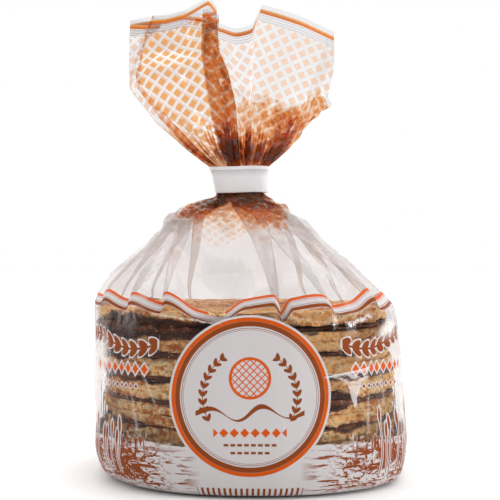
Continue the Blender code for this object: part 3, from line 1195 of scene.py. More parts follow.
    def build(self, crumb: bpy.types.Material, caramel: bpy.types.Material) -> list[bpy.types.Object]:
        """Makes the waffle's wafers as one piece and its syrup as another."""
        seam = self.low + self.wafer_depth
        upper_depth = self.wafer_depth + self.TOP_SWELL * self.shows_top
        seed = 10 * self.number
        lower = self.wafer(self.low, self.wafer_depth, False, seed + 1)
        upper = self.wafer(seam + self.syrup_depth, upper_depth, True, seed + 2)
        baked = add_mesh(f"stroopwafel_{self.number}", [lower, upper], crumb)
        filling = add_mesh(f"syrup_{self.number}", [self.syrup(seam, seed + 3)], caramel)
        return [baked, filling]


@dataclass
class WaffleStack:
    """The seven waffles, one on another, each a little off centre and out of level."""

    count: int = 7
    radius: float = 45.7 * MM
    foot: float = 0.35 * MM
    wafer_depth: float = 3.15
    syrup_depth: float = 1.15
    settling: float = 0.45 * MM
    top_spill: Spill = Spill(math.radians(222), 0.60, 0.72)
    front_spill: Spill = Spill(math.radians(302), 0.20, 0.80)
    front_spill_number: int = 4
    seed: int = 5

    def waffles(self) -> list[Stroopwafel]:
        """Works out each waffle's size and place, from the lowest up. The two highest slid to the left."""
        chance = np.random.default_rng(self.seed)
        low = self.foot
        made = []
        for number in range(1, self.count + 1):
            top = number == self.count
            wafer = (self.wafer_depth + chance.uniform(-0.2, 0.2)) * MM
            syrup = (self.syrup_depth + chance.uniform(-0.25, 0.30) + (0.55 if top else 0.0)) * MM
            slide = chance.uniform(-0.5, 0.5, 2) * MM
            slide[0] -= (2.3 if top else 1.0 if number == self.count - 1 else 0.0) * MM
            lean = chance.uniform(-0.006, 0.006, 2)
            lean[0] += 0.006 * (number - 1) / self.count
            spill = Spill(chance.uniform(0, TURN), chance.uniform(0.3, 0.6), chance.uniform(0.1, 0.4))
            if top:
                spill = self.top_spill
            if number == self.front_spill_number:
                spill = self.front_spill
            radius = self.radius + chance.uniform(-0.3, 0.0) * MM
            place, tilt = tuple(slide), tuple(lean)
            made.append(Stroopwafel(number, low, wafer, syrup, radius, place, tilt, spill, top))
            low += 2 * wafer + syrup - self.settling
        return made

    def build(self) -> list[bpy.types.Object]:
        """Bakes every waffle."""
        crumb, caramel = CrumbFinish().material(), SyrupFinish().material()
        pieces = []
        for waffle in self.waffles():
            pieces += waffle.build(crumb, caramel)
        return pieces


# ---------------------------------------------------------------- the printed film round the waffles


@dataclass(frozen=True)
class Tuck:
    """A knife pleat in the shoulder: where it starts round the film in millimetres, its share of the film
    that the pleats hide, and which way it lies."""

    place: float
    share: float = 1.0
    turn: int = 1


@dataclass(frozen=True)
class FilmGrid:
    """Where the body film's rows and columns are.

    Attributes:
        film: Place round the film from the front's middle, in millimetres, (rows, columns).
        up: Millimetres up the film from the edge of the base, (rows, columns).
        facet: Each column's facet.
        along: Each column's share of the way along its facet, or 1 to 2 along the fold after it.
    """

    film: Array
    up: Array
    facet: Array
    along: Array


@dataclass(frozen=True)
class Dent:
    """A soft patch of the film: its middle and half widths in film millimetres, its height or brightness,
    and how far it slants aside for each millimetre up."""

    around: float
    up: float
    wide: float
    tall: float
    depth: float
    slant: float = 0.0

    def bell(self, grid: FilmGrid, power: int) -> Array:
        """Its depth times e to the minus powers of the shares of its half widths."""
        up = grid.up - self.up
        across = np.abs((grid.film - self.around - self.slant * up) / self.wide)
        return self.depth * np.exp(-(across**power) - np.abs(up / self.tall) ** power)


@dataclass
class BodyFilm:
    """The film from the middle of the base, up round the waffles and over the shoulders into the band.

    The film is one tube of fixed girth. Where the bag is narrower than the film, tucks hide the rest: going
    round, the film runs forward along the outline, back for the length of a fold, and forward again.
    Inside the class all lengths are millimetres.

    Attributes:
        rows: Rows of points, from the middle of the base up to the band.
        base_rows: How many of them lie under the bag.
        base_reach: How far the base reaches from its middle.
        facet_columns: Columns between one fold and the next.
        fold_columns: Columns in a fold.
        least_fold: The shortest fold, which keeps its columns apart.
        foot: Height of the base over the table.
        seed: Of the wrinkles.
    """

    rows: int = 156
    base_rows: int = 9
    base_reach: float = 45.8
    facet_columns: int = 27
    fold_columns: int = 9
    least_fold: float = 0.9
    foot: float = 0.04
    seed: int = 11

    # height, left, right, half depth, squareness on the right and on the left, from the base edge up
    OUTLINES = (
        (0.05, 43.6, 44.0, 44.4, 2.7, 2.20),
        (0.70, 45.7, 46.3, 46.4, 2.7, 2.20),
        (2.60, 47.4, 48.0, 47.6, 2.65, 2.30),
        (10.0, 49.4, 49.3, 48.0, 2.65, 2.50),
        (26.0, 49.2, 48.3, 47.9, 2.6, 2.6),
        (38.0, 49.0, 47.3, 47.8, 2.65, 2.65),
        (47.0, 48.8, 46.2, 47.6, 2.7, 2.7),
        (51.4, 48.8, 45.0, 47.2, 2.65, 2.65),
        (54.0, 48.4, 43.0, 46.5, 2.6, 2.6),
        (57.5, 46.8, 39.3, 44.4, 2.55, 2.55),
        (61.0, 44.4, 35.6, 41.0, 2.5, 2.5),
        (64.6, 41.0, 32.2, 36.8, 2.5, 2.5),
        (71.7, 33.2, 24.2, 28.0, 2.4, 2.4),
        (79.1, 26.2, 16.3, 18.6, 2.3, 2.3),
        (83.9, 19.0, 9.4, 10.4, 2.2, 2.2),
        (86.6, 11.4, 5.9, 5.2, 2.2, 2.2),
        (88.6, 10.4, 5.0, 3.4, 2.2, 2.2),
        (92.0, 10.2, 4.7, 2.9, 2.2, 2.2),
        (94.9, 10.2, 4.7, 2.9, 2.2, 2.2),
    )
    TUCKS = (
        Tuck(-143.0, 0.9, -1), Tuck(-126.0, 1.1, -1), Tuck(-108.0, 1.0, 1), Tuck(-90.0, 1.1, 1),
        Tuck(-72.0, 0.9, -1), Tuck(-55.0, 0.9, -1), Tuck(-39.0, 1.1, -1), Tuck(-26.0, 0.9, -1),
        Tuck(8.5, 1.2, 1), Tuck(25.0, 0.9, 1), Tuck(43.0, 0.9, 1), Tuck(60.0, 0.9, 1),
        Tuck(77.0, 1.0, 1), Tuck(95.0, 1.1, -1), Tuck(113.0, 1.0, -1), Tuck(131.0, 1.0, 1),
    )
    # where the orange stripe stands round the shoulder: place round the film, height
    STRIPE_LINE = (
        (-159.0, 53.6), (-140.0, 51.5), (-124.0, 54.0), (-106.0, 52.0), (-92.0, 54.4), (-76.0, 57.2),
        (-57.0, 57.6), (-52.0, 59.3), (-40.0, 56.9), (-37.0, 58.6), (-26.8, 55.9), (-24.4, 58.9),
        (-14.2, 54.0), (-9.0, 53.2), (-1.4, 57.4), (6.6, 58.5), (10.2, 53.6), (13.0, 56.9), (22.4, 58.1),
        (27.6, 55.4), (34.0, 56.2), (42.6, 59.4), (46.4, 56.0), (60.0, 57.4), (76.0, 56.6), (94.0, 54.2),
        (112.0, 51.6), (132.0, 54.0), (146.0, 52.0), (159.0, 53.6),
    )
    STRIPE_UP = 58.5
    STRIPE_MEAN = 57.3
    STRIPE_FOLD = 53.0
    DENTS = (
        Dent(-19.0, 88.0, 9.0, 9.0, 1.6), Dent(0.0, 36.0, 30.0, 24.0, 0.6),
        Dent(-44.0, 30.0, 6.0, 20.0, -0.9, 0.2), Dent(42.0, 34.0, 5.0, 22.0, -1.0, -0.15),
        Dent(30.0, 8.0, 9.0, 6.0, -0.8), Dent(60.0, 40.0, 5.0, 14.0, -0.8),
        Dent(-66.0, 20.0, 7.0, 16.0, -0.8), Dent(84.0, 22.0, 9.0, 16.0, -0.9),
        Dent(-90.0, 34.0, 6.0, 20.0, -0.9), Dent(120.0, 30.0, 10.0, 20.0, -0.9),
        Dent(-125.0, 26.0, 10.0, 20.0, -0.8), Dent(150.0, 36.0, 8.0, 18.0, -0.8),
        Dent(-7.0, 66.0, 9.0, 7.0, -1.2), Dent(17.0, 70.0, 5.0, 12.0, 1.0), Dent(-30.0, 74.0, 4.0, 14.0, 1.0),
    )
    GLINTS = (
        Dent(-59.0, 27.0, 4.6, 12.0, 0.85), Dent(47.5, 48.6, 5.0, 2.6, 0.62, 1.0),
        Dent(58.0, 30.0, 2.0, 15.0, 0.65), Dent(66.0, 36.0, 2.2, 12.0, 0.6), Dent(-50.0, 38.0, 3.0, 8.0, 0.6),
        Dent(101.0, 30.0, 1.6, 14.0, 0.55), Dent(-104.0, 30.0, 1.6, 14.0, 0.55),
        Dent(142.0, 36.0, 4.0, 2.5, 0.6), Dent(-135.0, 22.0, 1.6, 12.0, 0.6),
        Dent(-33.0, 69.0, 2.0, 12.0, 0.4), Dent(34.0, 69.0, 2.0, 10.0, 0.4),
    )

    def __post_init__(self) -> None:
        """Makes the wrinkles' noise."""
        self.grain = Grain(self.seed)

    def heights_up(self) -> tuple[Array, Array]:
        """Each key outline's distance up the film from the base edge, and the outlines as a table."""
        table = np.array(self.OUTLINES)
        girths = (table[:, 1] + table[:, 2] + 2 * table[:, 3]) / 4
        step = np.hypot(np.diff(table[:, 0]), np.diff(girths))
        return np.concatenate([[0.0], np.cumsum(step)]), table

    def outline_lengths(self, levels: Array) -> tuple[Array, Array]:
        """The outlines' running lengths from the front middle, anticlockwise.

        Each outline is a superellipse whose left and right halves have their own widths.

        Args:
            levels: Each row's height, left, right, half depth, and squareness on the right and on the left.

        Returns:
            The angles walked, from back middle to back middle, and the length at each for every row.
        """
        half = 720
        angle = np.linspace(-1.5 * math.pi, 0.5 * math.pi, 2 * half + 1)
        x, y = self.outline(angle[None, :], levels[:, None, :])
        step = np.hypot(np.diff(x, axis=1), np.diff(y, axis=1))
        length = np.concatenate([np.zeros((len(levels), 1)), np.cumsum(step, axis=1)], axis=1)
        return angle, length - length[:, half][:, None]

    @staticmethod
    def outline(angle: Array, level: Array) -> tuple[Array, Array]:
        """The superellipse's point at an angle: cosine and sine raised to 2 over the squareness."""
        cosine, sine = np.cos(angle), np.sin(angle)
        power = 2.0 / np.where(cosine < 0, level[..., 5], level[..., 4])
        wide = np.where(cosine < 0, level[..., 1], level[..., 2])
        x = wide * np.sign(cosine) * np.abs(cosine) ** power
        y = level[..., 3] * np.sign(sine) * np.abs(sine) ** power
        return x, y

    def levels(self) -> tuple[Array, Array]:
        """Every row's distance up the film, below 0 under the bag, and its outline, which shrinks there."""
        keys, table = self.heights_up()
        under = np.linspace(-40.0, -0.6, self.base_rows)
        wall = np.linspace(0.0, 1.0, self.rows - self.base_rows)
        wall = keys[-1] * (0.82 * wall + 0.18 * wall**2.0)
        up = np.concatenate([under, wall])
        levels = gentle_curve(np.maximum(up, 0.0), keys, table)
        shrink = np.where(up < 0, (self.base_reach + up) / self.base_reach, 1.0)
        levels[:, 1:4] *= shrink[:, None]
        return up, levels

    def hidden(self, up: Array, girth: Array) -> Array:
        """The length each pleat hides in each row: its share of half the film's girth less the outline's."""
        share = np.array([tuck.share for tuck in self.TUCKS])
        spare = np.maximum(FILM_GIRTH - girth, 0.0) * eased((up - 48.0) / 6.0) / 2
        return spare[:, None] * share[None, :] / share.sum()

    def folds(self, hidden: Array) -> tuple[Array, Array]:
        """Where each fold starts round the film, and its length, both of shape (rows, tucks)."""
        fold = np.maximum(hidden, self.least_fold)
        start = np.array([tuck.place for tuck in self.TUCKS])[None, :] - 0.5 * (fold - self.least_fold)
        return start, fold

    def column_places(self, start: Array, fold: Array) -> tuple[Array, Array, Array]:
        """Film places of every column, crowded near the creases.

        Args:
            start: Film place of each fold's first crease, (rows, tucks).
            fold: Each fold's length, (rows, tucks).

        Returns:
            Places (rows, columns), the number of each column's facet, and its share of the way along the
            facet, or along the fold as 1 to 2.
        """
        tucks = start.shape[1]
        bend = 0.5 - 0.5 * np.cos(np.linspace(0, math.pi, self.facet_columns + 1))[:-1]
        even = np.linspace(0, 1, self.facet_columns + 1)[:-1]
        along = 0.55 * even + 0.45 * bend
        across = np.linspace(0, 1, self.fold_columns + 1)[:-1]
        places, facets, shares = [], [], []
        for number in range(tucks):
            begin = start[:, number] + fold[:, number]
            follow = (number + 1) % tucks
            end = start[:, follow] + (FILM_GIRTH if follow == 0 else 0.0)
            places.append(begin[:, None] + (end - begin)[:, None] * along)
            facets.append(np.full(len(along), number))
            shares.append(along)
            places.append(end[:, None] + fold[:, follow][:, None] * across)
            facets.append(np.full(len(across), number))
            shares.append(1.0 + across)
        return np.concatenate(places, axis=1), np.concatenate(facets), np.concatenate(shares)

    @staticmethod
    def walked(place: Array, start: Array, fold: Array, hidden: Array, girth: Array) -> Array:
        """How far along its row's outline each column stands.

        That is its film place less twice the fold it has passed, counted from the front's middle and scaled
        so that the last column meets the first.

        Args:
            place: Each column's place round the film, (rows, columns).
            start: Where each fold starts, (rows, tucks).
            fold: Each fold's length, (rows, tucks).
            hidden: The length that each fold hides, (rows, tucks).
            girth: Each outline's length.

        Returns:
            The distances, (rows, columns).
        """
        passed = np.clip((place[:, :, None] - start[:, None, :]) / fold[:, None, :], 0, 1)
        wrapped = np.clip((place[:, :, None] - FILM_GIRTH - start[:, None, :]) / fold[:, None, :], 0, 1)
        along = place - 2 * ((passed + wrapped) * hidden[:, None, :]).sum(axis=2)
        at_front = np.clip((0.0 - start) / fold, 0, 1)
        along += 2 * (at_front * hidden).sum(axis=1)[:, None]
        drawn = FILM_GIRTH - 2 * hidden.sum(axis=1)
        return along * (girth / drawn)[:, None]

    def build(self, finish: bpy.types.Material) -> bpy.types.Object:
        """Makes the film.

        A point stands on its row's outline, moved outwards by the relief and inwards by its pleat's depth.

        Args:
            finish: The printed film.

        Returns:
            The piece.
        """
        up, levels = self.levels()
        angle, length = self.outline_lengths(levels)
        girth = length[:, -1] - length[:, 0]
        hidden = self.hidden(up, girth)
        start, fold = self.folds(hidden)
        place, facet, along = self.column_places(start, fold)
        walked = self.walked(place, start, fold, hidden, girth)
        x, y, outward_x, outward_y = self.on_outline(walked, girth, angle, length, levels)
        lean = self.lean(up, levels)
        film = np.where(place > HALF_GIRTH, place - FILM_GIRTH, place)
        grid = FilmGrid(film, np.broadcast_to(up[:, None], place.shape), facet, along)
        out = self.relief(grid) - self.depths(grid, hidden, levels)
        x = x + out * outward_x * lean[:, :1]
        y = y + out * outward_y * lean[:, :1]
        z = np.maximum(levels[:, :1] + self.lift(film, up) + out * lean[:, 1:], self.foot)
        sheet = Sheet(np.stack([x, y, z], -1) * MM, low_pole=np.array([0.0, 0.0, self.foot]) * MM)
        following = np.concatenate([place[:, 1:], place[:, :1] + FILM_GIRTH], axis=1)
        sheet.map_left = np.stack([place, grid.up], -1)
        sheet.map_right = np.stack([following, grid.up], -1)
        self.shade(sheet, grid)
        return add_mesh("body_film", [sheet], finish)

    def shade(self, sheet: Sheet, grid: FilmGrid) -> None:
        """Tones: how much film lies gathered or heaped, how slack it is, where it is veiled or bright, where
        folds get a grey tint with painted shade, and where the painted sheen lies.

        Args:
            sheet: The film's surface, which gets the tones.
            grid: Its rows and columns.
        """
        film, rise, along = grid.film, grid.up, grid.along
        lumps = self.grain.layered((film / FILM_GIRTH * 96) % 96, rise * 0.16 + 70.0, 3, 96)
        folded = (film + HALF_GIRTH / 2) % HALF_GIRTH - HALF_GIRTH / 2
        pane = hump(folded, 20.0, 11.0) * hump(rise, 97.0, 6.0)
        chance = 0.5 + 0.5 * self.grain(grid.facet * 5.7 + 0.5, 0 * along + 40.5)
        crease = np.maximum(hump(along, 0.0, 0.025), hump(along, 1.0, 0.025)) + (along > 1.02) * 0.5
        shoulder = eased((rise - 50.0) / 10.0) * (1 - 0.6 * eased((rise - 90.0) / 10.0))
        veil = shoulder * (0.04 + 0.08 * chance + 0.15 * crease)[None, :]
        # creased and the fold tone: extra plies in folds, and painted shade in the folds and over the
        # shoulders' middle, front and back.
        creased = shoulder * np.clip(0.10 * chance**2 + 0.26 * crease, 0, 1)[None, :]
        # painted sheen at the film's left and right, where its gloss shows over the waffles
        left_sheen = 0.17 * hump(film, -57.0, 7.0) * hump(rise, 36.0, 15.0)
        right_sheen = 0.12 * hump(film, 54.0, 7.0) * hump(rise, 34.0, 16.0)
        sheet.tones["gather"] = np.clip((rise - 94.0) / 14.0 + 0.30 * lumps - 0.9 * pane, 0, 1)
        sheet.tones["heaped"] = np.clip((rise - 88.0) / 6.0 + 0.9 * lumps - 1.6 * pane, 0, 1)
        sheet.tones["doubled"] = 0 * rise
        sheet.tones["glare"] = self.glare(grid)
        sheet.tones["slack"] = 0.25 + 0.55 * eased((rise - 44.0) / 16.0)
        sheet.tones["veil"] = veil + 0.05 * hump(rise, 53.0, 4.0)
        sheet.tones["fold"] = creased + 0.26 * hump(folded, -2.0, 26.0) * shoulder
        sheet.tones["shoulder"] = shoulder
        sheet.tones["painted_sheen"] = left_sheen + right_sheen

    def on_outline(self, walked: Array, girth: Array, angle: Array, length: Array,
                   levels: Array) -> tuple[Array, Array, Array, Array]:
        """Points at these distances along each row's outline, and their outward directions.

        The direction is the gradient of the superellipse's formula.

        Args:
            walked: Distances from the front's middle, (rows, columns).
            girth: Each outline's whole length.
            angle: The angles at which lengths are known.
            length: Those lengths, (rows, angles).
            levels: Each row's outline.

        Returns:
            The points' x and y, then the directions' x and y.
        """
        turned = np.empty_like(walked)
        for row in range(len(walked)):
            low = length[row, 0]
            turned[row] = np.interp((walked[row] - low) % girth[row] + low, length[row], angle)
        x, y = self.outline(turned, levels[:, None, :])
        power = np.where(x < 0, levels[:, None, 5], levels[:, None, 4])
        wide = np.where(x < 0, levels[:, None, 1], levels[:, None, 2])
        slope_x = np.sign(x) * (np.abs(x) / wide) ** (power - 1) / wide
        slope_y = np.sign(y) * (np.abs(y) / levels[:, None, 3]) ** (power - 1) / levels[:, None, 3]
        size = np.hypot(slope_x, slope_y) + 1e-9
        return x, y, slope_x / size, slope_y / size

    @staticmethod
    def lean(up: Array, levels: Array) -> Array:
        """Each row's outward direction in profile, as its flat and upright parts."""
        wide = (levels[:, 1] + levels[:, 2] + 2 * levels[:, 3]) / 4
        along_up = np.gradient(levels[:, 0], up)
        along_in = -np.gradient(wide, up)
        size = np.hypot(along_up, along_in) + 1e-9
        return np.stack([along_up / size, along_in / size], 1)

    def depths(self, grid: FilmGrid, hidden: Array, levels: Array) -> Array:
        """How far inside the outline each column lies because of the pleats.

        A pleat's inner crease lies its depth in, the outer one on the outline. Facets run evenly between.

        Args:
            grid: The film's rows and columns.
            hidden: The length that each fold hides, (rows, tucks).
            levels: Each row's outline.

        Returns:
            The depths, (rows, columns).
        """
        turns = np.array([tuck.turn for tuck in self.TUCKS])
        limit = 0.72 * levels[:, 3] * 0.9
        deep = np.minimum(0.30 * hidden, limit[:, None])
        at_start = np.where(turns > 0, 0.0, 1.0)[None, :] * deep
        at_end = np.where(turns > 0, 1.0, 0.0)[None, :] * deep
        along = grid.along
        here = at_end[:, grid.facet]
        following = (grid.facet + 1) % len(self.TUCKS)
        there, beyond = at_start[:, following], at_end[:, following]
        share = np.clip(along, 0, 1)
        back = np.clip(along - 1, 0, 1)
        return np.where(along < 1, here + (there - here) * share, there + (beyond - there) * back)

    def relief(self, grid: FilmGrid) -> Array:
        """How far the film stands out: dents, puffed facets, and wrinkles that run mostly up.

        Args:
            grid: The film's rows and columns.

        Returns:
            The distances, (rows, columns).
        """
        film, up, along = grid.film, grid.up, grid.along
        out = np.zeros(film.shape)
        for dent in self.DENTS:
            out += dent.bell(grid, 2)
        slackness = eased((up - 46.0) / 14.0) * (1 - eased((up - 92.0) / 14.0))
        puff = np.sin(math.pi * np.clip(along, 0, 1)) * (along < 1)
        chance = self.grain(grid.facet * 7.3 + 0.5, 0 * along + 3.5)
        out += slackness * (0.1 + 0.9 * chance)[None, :] * puff[None, :]
        cells = 48
        turn = (film / FILM_GIRTH * cells) % cells
        wrinkle = self.grain.layered(turn, up * 0.028 + 5.0, 3, cells)
        wave = self.grain.layered(turn / 4.0, up * 0.05 + 50.0, 2, cells // 4)
        held = eased(up / 5.0)
        out += held * (wrinkle * (0.20 + 0.12 * slackness) + wave * (0.30 + 0.35 * slackness))
        sharp = 1.0 - np.abs(self.grain.layered(turn * 1.5, up * 0.045 + 120.0, 2, cells * 3 // 2))
        out += held * 1.2 * np.clip(sharp - 0.78, 0, 1) * (0.4 + 0.2 * slackness)
        bunched = self.grain.layered((film / FILM_GIRTH * 80) % 80, up * 0.17 + 30.0, 2, 80)
        out += hump(up, 95.0, 7.5) * 1.8 * bunched
        sunk = np.clip(-self.lift(film, up[:, 0]) / 4.0, 0, 1) * (1 - eased((up - 58.0) / 6.0))
        out -= 0.7 * sunk
        return out * (1 - eased((up - 104.0) / 8.0))

    def glare(self, grid: FilmGrid) -> Array:
        """How white the film shines where it is creased towards the lamps: slanted bell-shaped patches."""
        total = np.zeros(grid.up.shape)
        for patch in self.GLINTS:
            total = np.maximum(total, patch.bell(grid, 3))
        return total

    def lift(self, film: Array, up: Array) -> Array:
        """How much higher or lower the film stands than its row, so that the stripe follows its line.

        Above the stripe the shift fades over 20 mm. Below it, it is gone within the fold under the stripes.
        """
        line = np.array(self.STRIPE_LINE)
        wanted = gentle_curve(film, line[:, 0], line[:, 1:])[..., 0]
        below = eased((up - self.STRIPE_FOLD) / 2.2)
        weight = np.where(up < self.STRIPE_UP, below, hump(up, self.STRIPE_UP, 17.0))
        return (wanted - self.STRIPE_MEAN) * weight[:, None]


# ---------------------------------------------------------------- the open fan above the band


@dataclass(frozen=True)
class FoldLine:
    """A line down the fan, from the hem to the band, in millimetres.

    Attributes:
        hem: Its height at the hem.
        across: Its x at six heights, from the hem down.
        along: Its y at the same heights.
        folded: Whether the film folds there; otherwise the film only bends.
        kink: How far it juts out sideways a third of the way up.
        stripes: Whether the striped hem shows on the panel after it; otherwise that hem is turned in.
        ply: How much film the panel after it shows.
    """

    hem: float
    across: tuple[float, ...]
    along: tuple[float, ...]
    folded: bool = True
    kink: float = 0.0
    stripes: bool = True
    ply: Ply = Ply.SINGLE


@dataclass
class FanFilm:
    """The film above the band: panels between fold lines, drawn together at the neck.

    Going round from the left end: the left flap, the tight folds of the middle, the valley, the right flap,
    then the back, which has slumped on the right and lies close behind the flap on the left.
    Inside the class all lengths are millimetres.

    Attributes:
        rows: Rows of points from the band to the hem.
        spacing: The distance between columns where a panel is widest.
        seed: Of the waves.
    """

    rows: int = 124
    spacing: float = 0.36
    seed: int = 23

    FOOT = 94.6
    HEIGHTS = (1.0, 0.77, 0.58, 0.37, 0.175, 0.0)
    KINK_UP, KINK_TALL = 114.6, 2.4
    TURNED_IN = 6.0
    SLUMPED_BELOW = 138.0
    LINES = (
        FoldLine(143.0, (-38.4, -38.9, -38.7, -31.9, -21.9, -11.2), (-1.0, -0.8, -0.6, -0.6, -0.5, 0.0)),
        FoldLine(142.2, (-27.0, -35.5, -38.1, -31.5, -21.4, -10.2), (-4.3, -2.6, -1.0, -1.0, -0.9, -0.3),
                 stripes=False, ply=Ply.BLANK),
        FoldLine(143.9, (-31.2, -36.2, -38.4, -32.0, -22.0, -10.9), (-2.5, -2.0, -1.6, -1.8, -1.5, -1.0),
                 stripes=False),
        FoldLine(144.0, (-30.4, -34.0, -34.8, -27.0, -18.2, -8.6), (-3.9, -4.6, -6.4, -7.2, -4.8, -2.5),
                 stripes=False),
        FoldLine(144.0, (-30.9, -34.8, -36.2, -29.8, -21.0, -9.6), (-3.5, -4.0, -5.2, -5.2, -3.2, -1.6),
                 ply=Ply.DOUBLE),
        FoldLine(144.0, (-27.2, -29.5, -31.0, -24.6, -16.6, -8.4), (-5.0, -6.5, -10.0, -8.6, -5.5, -2.3),
                 folded=False),
        FoldLine(145.1, (-21.5, -22.5, -23.5, -19.5, -14.0, -7.6), (-6.0, -7.5, -11.5, -9.8, -6.0, -2.7),
                 folded=False),
        FoldLine(149.0, (-12.9, -14.8, -14.2, -12.8, -10.8, -6.4), (-8.0, -9.0, -10.5, -8.5, -5.5, -3.0),
                 folded=False),
        FoldLine(146.4, (-10.6, -10.0, -6.6, -4.4, -3.8, -3.0), (-6.0, -6.5, -6.5, -5.5, -4.0, -2.8),
                 ply=Ply.HEAPED),
        FoldLine(146.0, (-15.0, -15.6, -14.5, -12.8, -10.6, -6.6), (-3.5, -5.0, -6.0, -5.0, -3.5, -2.2),
                 ply=Ply.BLANK),
        FoldLine(144.8, (-9.9, -10.1, -6.4, -4.2, -3.6, -2.8), (-1.5, -3.0, -4.0, -3.5, -2.6, -1.8),
                 ply=Ply.BLANK),
        FoldLine(144.6, (-14.0, -15.0, -14.0, -12.2, -10.0, -6.2), (1.5, -0.5, -2.0, -2.0, -1.6, -1.2),
                 ply=Ply.HEAPED),
        FoldLine(143.0, (-9.7, -9.8, -6.2, -4.2, -3.4, -2.4), (4.0, 2.0, 0.5, 0.0, -0.4, -0.6)),
        FoldLine(141.9, (-4.4, -4.2, -3.0, -2.4, -2.2, -1.6), (6.0, 5.0, 4.0, 3.0, 1.6, 0.4), False),
        FoldLine(142.8, (0.8, 0.5, 0.0, -0.4, -0.8, -1.2), (3.0, 3.0, 3.0, 2.4, 1.2, 0.0), False),
        FoldLine(147.0, (3.7, 1.2, 0.8, 0.5, 0.2, -0.4), (-6.4, -6.5, -6.6, -6.0, -4.5, -2.8)),
        FoldLine(143.1, (14.5, 13.6, 12.8, 11.0, 7.2, 2.2), (-9.5, -10.0, -10.5, -9.5, -6.0, -2.6), False),
        FoldLine(138.4, (26.5, 26.6, 25.0, 16.6, 10.9, 4.7), (-6.0, -6.5, -6.0, -5.0, -3.2, -1.4),
                 kink=5.0, stripes=False, ply=Ply.BLANK),
        FoldLine(137.0, (24.3, 24.5, 22.8, 15.4, 10.2, 4.6), (-1.5, -2.0, -2.0, -1.5, -0.6, 0.0),
                 kink=4.0, stripes=False, ply=Ply.HEAPED),
        FoldLine(118.0, (18.5, 17.5, 16.0, 12.6, 8.4, 4.0), (5.0, 6.5, 7.0, 6.0, 3.5, 1.2),
                 stripes=False, ply=Ply.HEAPED),
        FoldLine(115.0, (8.0, 8.0, 7.6, 6.2, 4.2, 2.2), (7.0, 8.5, 8.5, 7.0, 4.5, 2.2),
                 stripes=False, ply=Ply.BLANK),
        FoldLine(117.0, (15.0, 14.0, 12.0, 9.0, 6.0, 3.2), (9.0, 10.5, 10.0, 8.0, 5.0, 2.5),
                 stripes=False, ply=Ply.HEAPED),
        FoldLine(121.0, (3.0, 3.0, 2.5, 1.8, 0.8, 0.2), (10.5, 11.5, 11.0, 8.5, 5.2, 2.9),
                 stripes=False, ply=Ply.HEAPED),
        FoldLine(123.0, (-5.0, -4.4, -3.8, -3.2, -2.6, -1.8), (11.5, 11.5, 10.5, 8.0, 5.0, 2.9),
                 stripes=False, ply=Ply.BLANK),
        FoldLine(145.5, (-13.0, -13.6, -13.5, -11.6, -8.8, -4.6), (3.2, 1.6, -0.4, -0.6, -0.2, 0.6),
                 ply=Ply.BLANK),
        FoldLine(145.1, (-21.5, -22.5, -23.5, -19.5, -14.0, -7.4), (-4.4, -5.9, -9.9, -8.2, -4.0, 0.6),
                 folded=False),
        FoldLine(144.0, (-27.2, -29.5, -31.0, -24.6, -16.6, -8.4), (-3.4, -4.9, -8.4, -7.0, -3.6, 0.6),
                 folded=False),
        FoldLine(143.9, (-33.0, -35.0, -36.0, -30.0, -21.0, -9.8), (-1.6, -1.6, -2.6, -2.4, -1.6, 0.4),
                 folded=False),
    )

    def __post_init__(self) -> None:
        """Makes the waves' noise."""
        self.grain = Grain(self.seed)

    def panels(self) -> list[list[FoldLine]]:
        """The runs of lines from one fold to the next, all the way round."""
        lines = list(self.LINES) + [self.LINES[0]]
        runs, current = [], [lines[0]]
        for line in lines[1:]:
            current.append(line)
            if line.folded:
                runs.append(current)
                current = [line]
        return runs

    def lattice(self, t: Array) -> tuple[Array, Array, Array]:
        """The smooth fan before its small folds.

        Each fold line runs smoothly through its six places. Between the lines of a panel, points at one
        share of the height run smoothly from line to line.

        Args:
            t: Shares of the height, from the band up.

        Returns:
            Points (rows, columns, 3), each column's panel, and its share of the way across the panel.
        """
        parts, numbers, shares = [], [], []
        heights = np.array(self.HEIGHTS)[::-1]
        for number, run in enumerate(self.panels()):
            lines = []
            for line in run:
                tall = self.FOOT + (line.hem - self.FOOT) * heights
                places = np.stack([line.across[::-1], line.along[::-1], tall], -1)
                path = gentle_curve(t, heights, places)
                path[:, 0] += line.kink * hump(path[:, 2], self.KINK_UP, self.KINK_TALL)
                lines.append(path)
            net = np.stack(lines)
            gaps = np.linalg.norm(np.diff(net, axis=0), axis=2)
            keys = np.concatenate([[0.0], np.cumsum(gaps.mean(axis=1))])
            widest = gaps.sum(axis=0).max()
            count = max(int(widest / self.spacing), 14)
            even = np.linspace(0, 1, count + 1)[:-1]
            share = 0.75 * even + 0.25 * (0.5 - 0.5 * np.cos(math.pi * even))
            flat = gentle_curve(share * keys[-1], keys, net.reshape(len(run), -1))
            parts.append(flat.reshape(count, len(t), 3).transpose(1, 0, 2))
            numbers.append(np.full(count, number))
            shares.append(share)
        return np.concatenate(parts, axis=1), np.concatenate(numbers), np.concatenate(shares)

    def build(self, finish: bpy.types.Material) -> bpy.types.Object:
        """Makes the fan: the smooth panels, their waves, the pleats near the band, then the print.

        Args:
            finish: The film with the lattice.

        Returns:
            The piece.
        """
        t = np.linspace(0, 1, self.rows)
        t = 0.7 * t + 0.3 * t**1.7
        smooth, panel, share = self.lattice(t)
        points = smooth.copy()
        self.wave(points, panel, share, t[:, None])
        before = points.copy()
        self.pleat(points, panel, share)
        sheet = Sheet(points * MM)
        self.map_onto(sheet, before, panel)
        self.shade(sheet, smooth, panel, share)
        return add_mesh("fan_film", [sheet], finish)

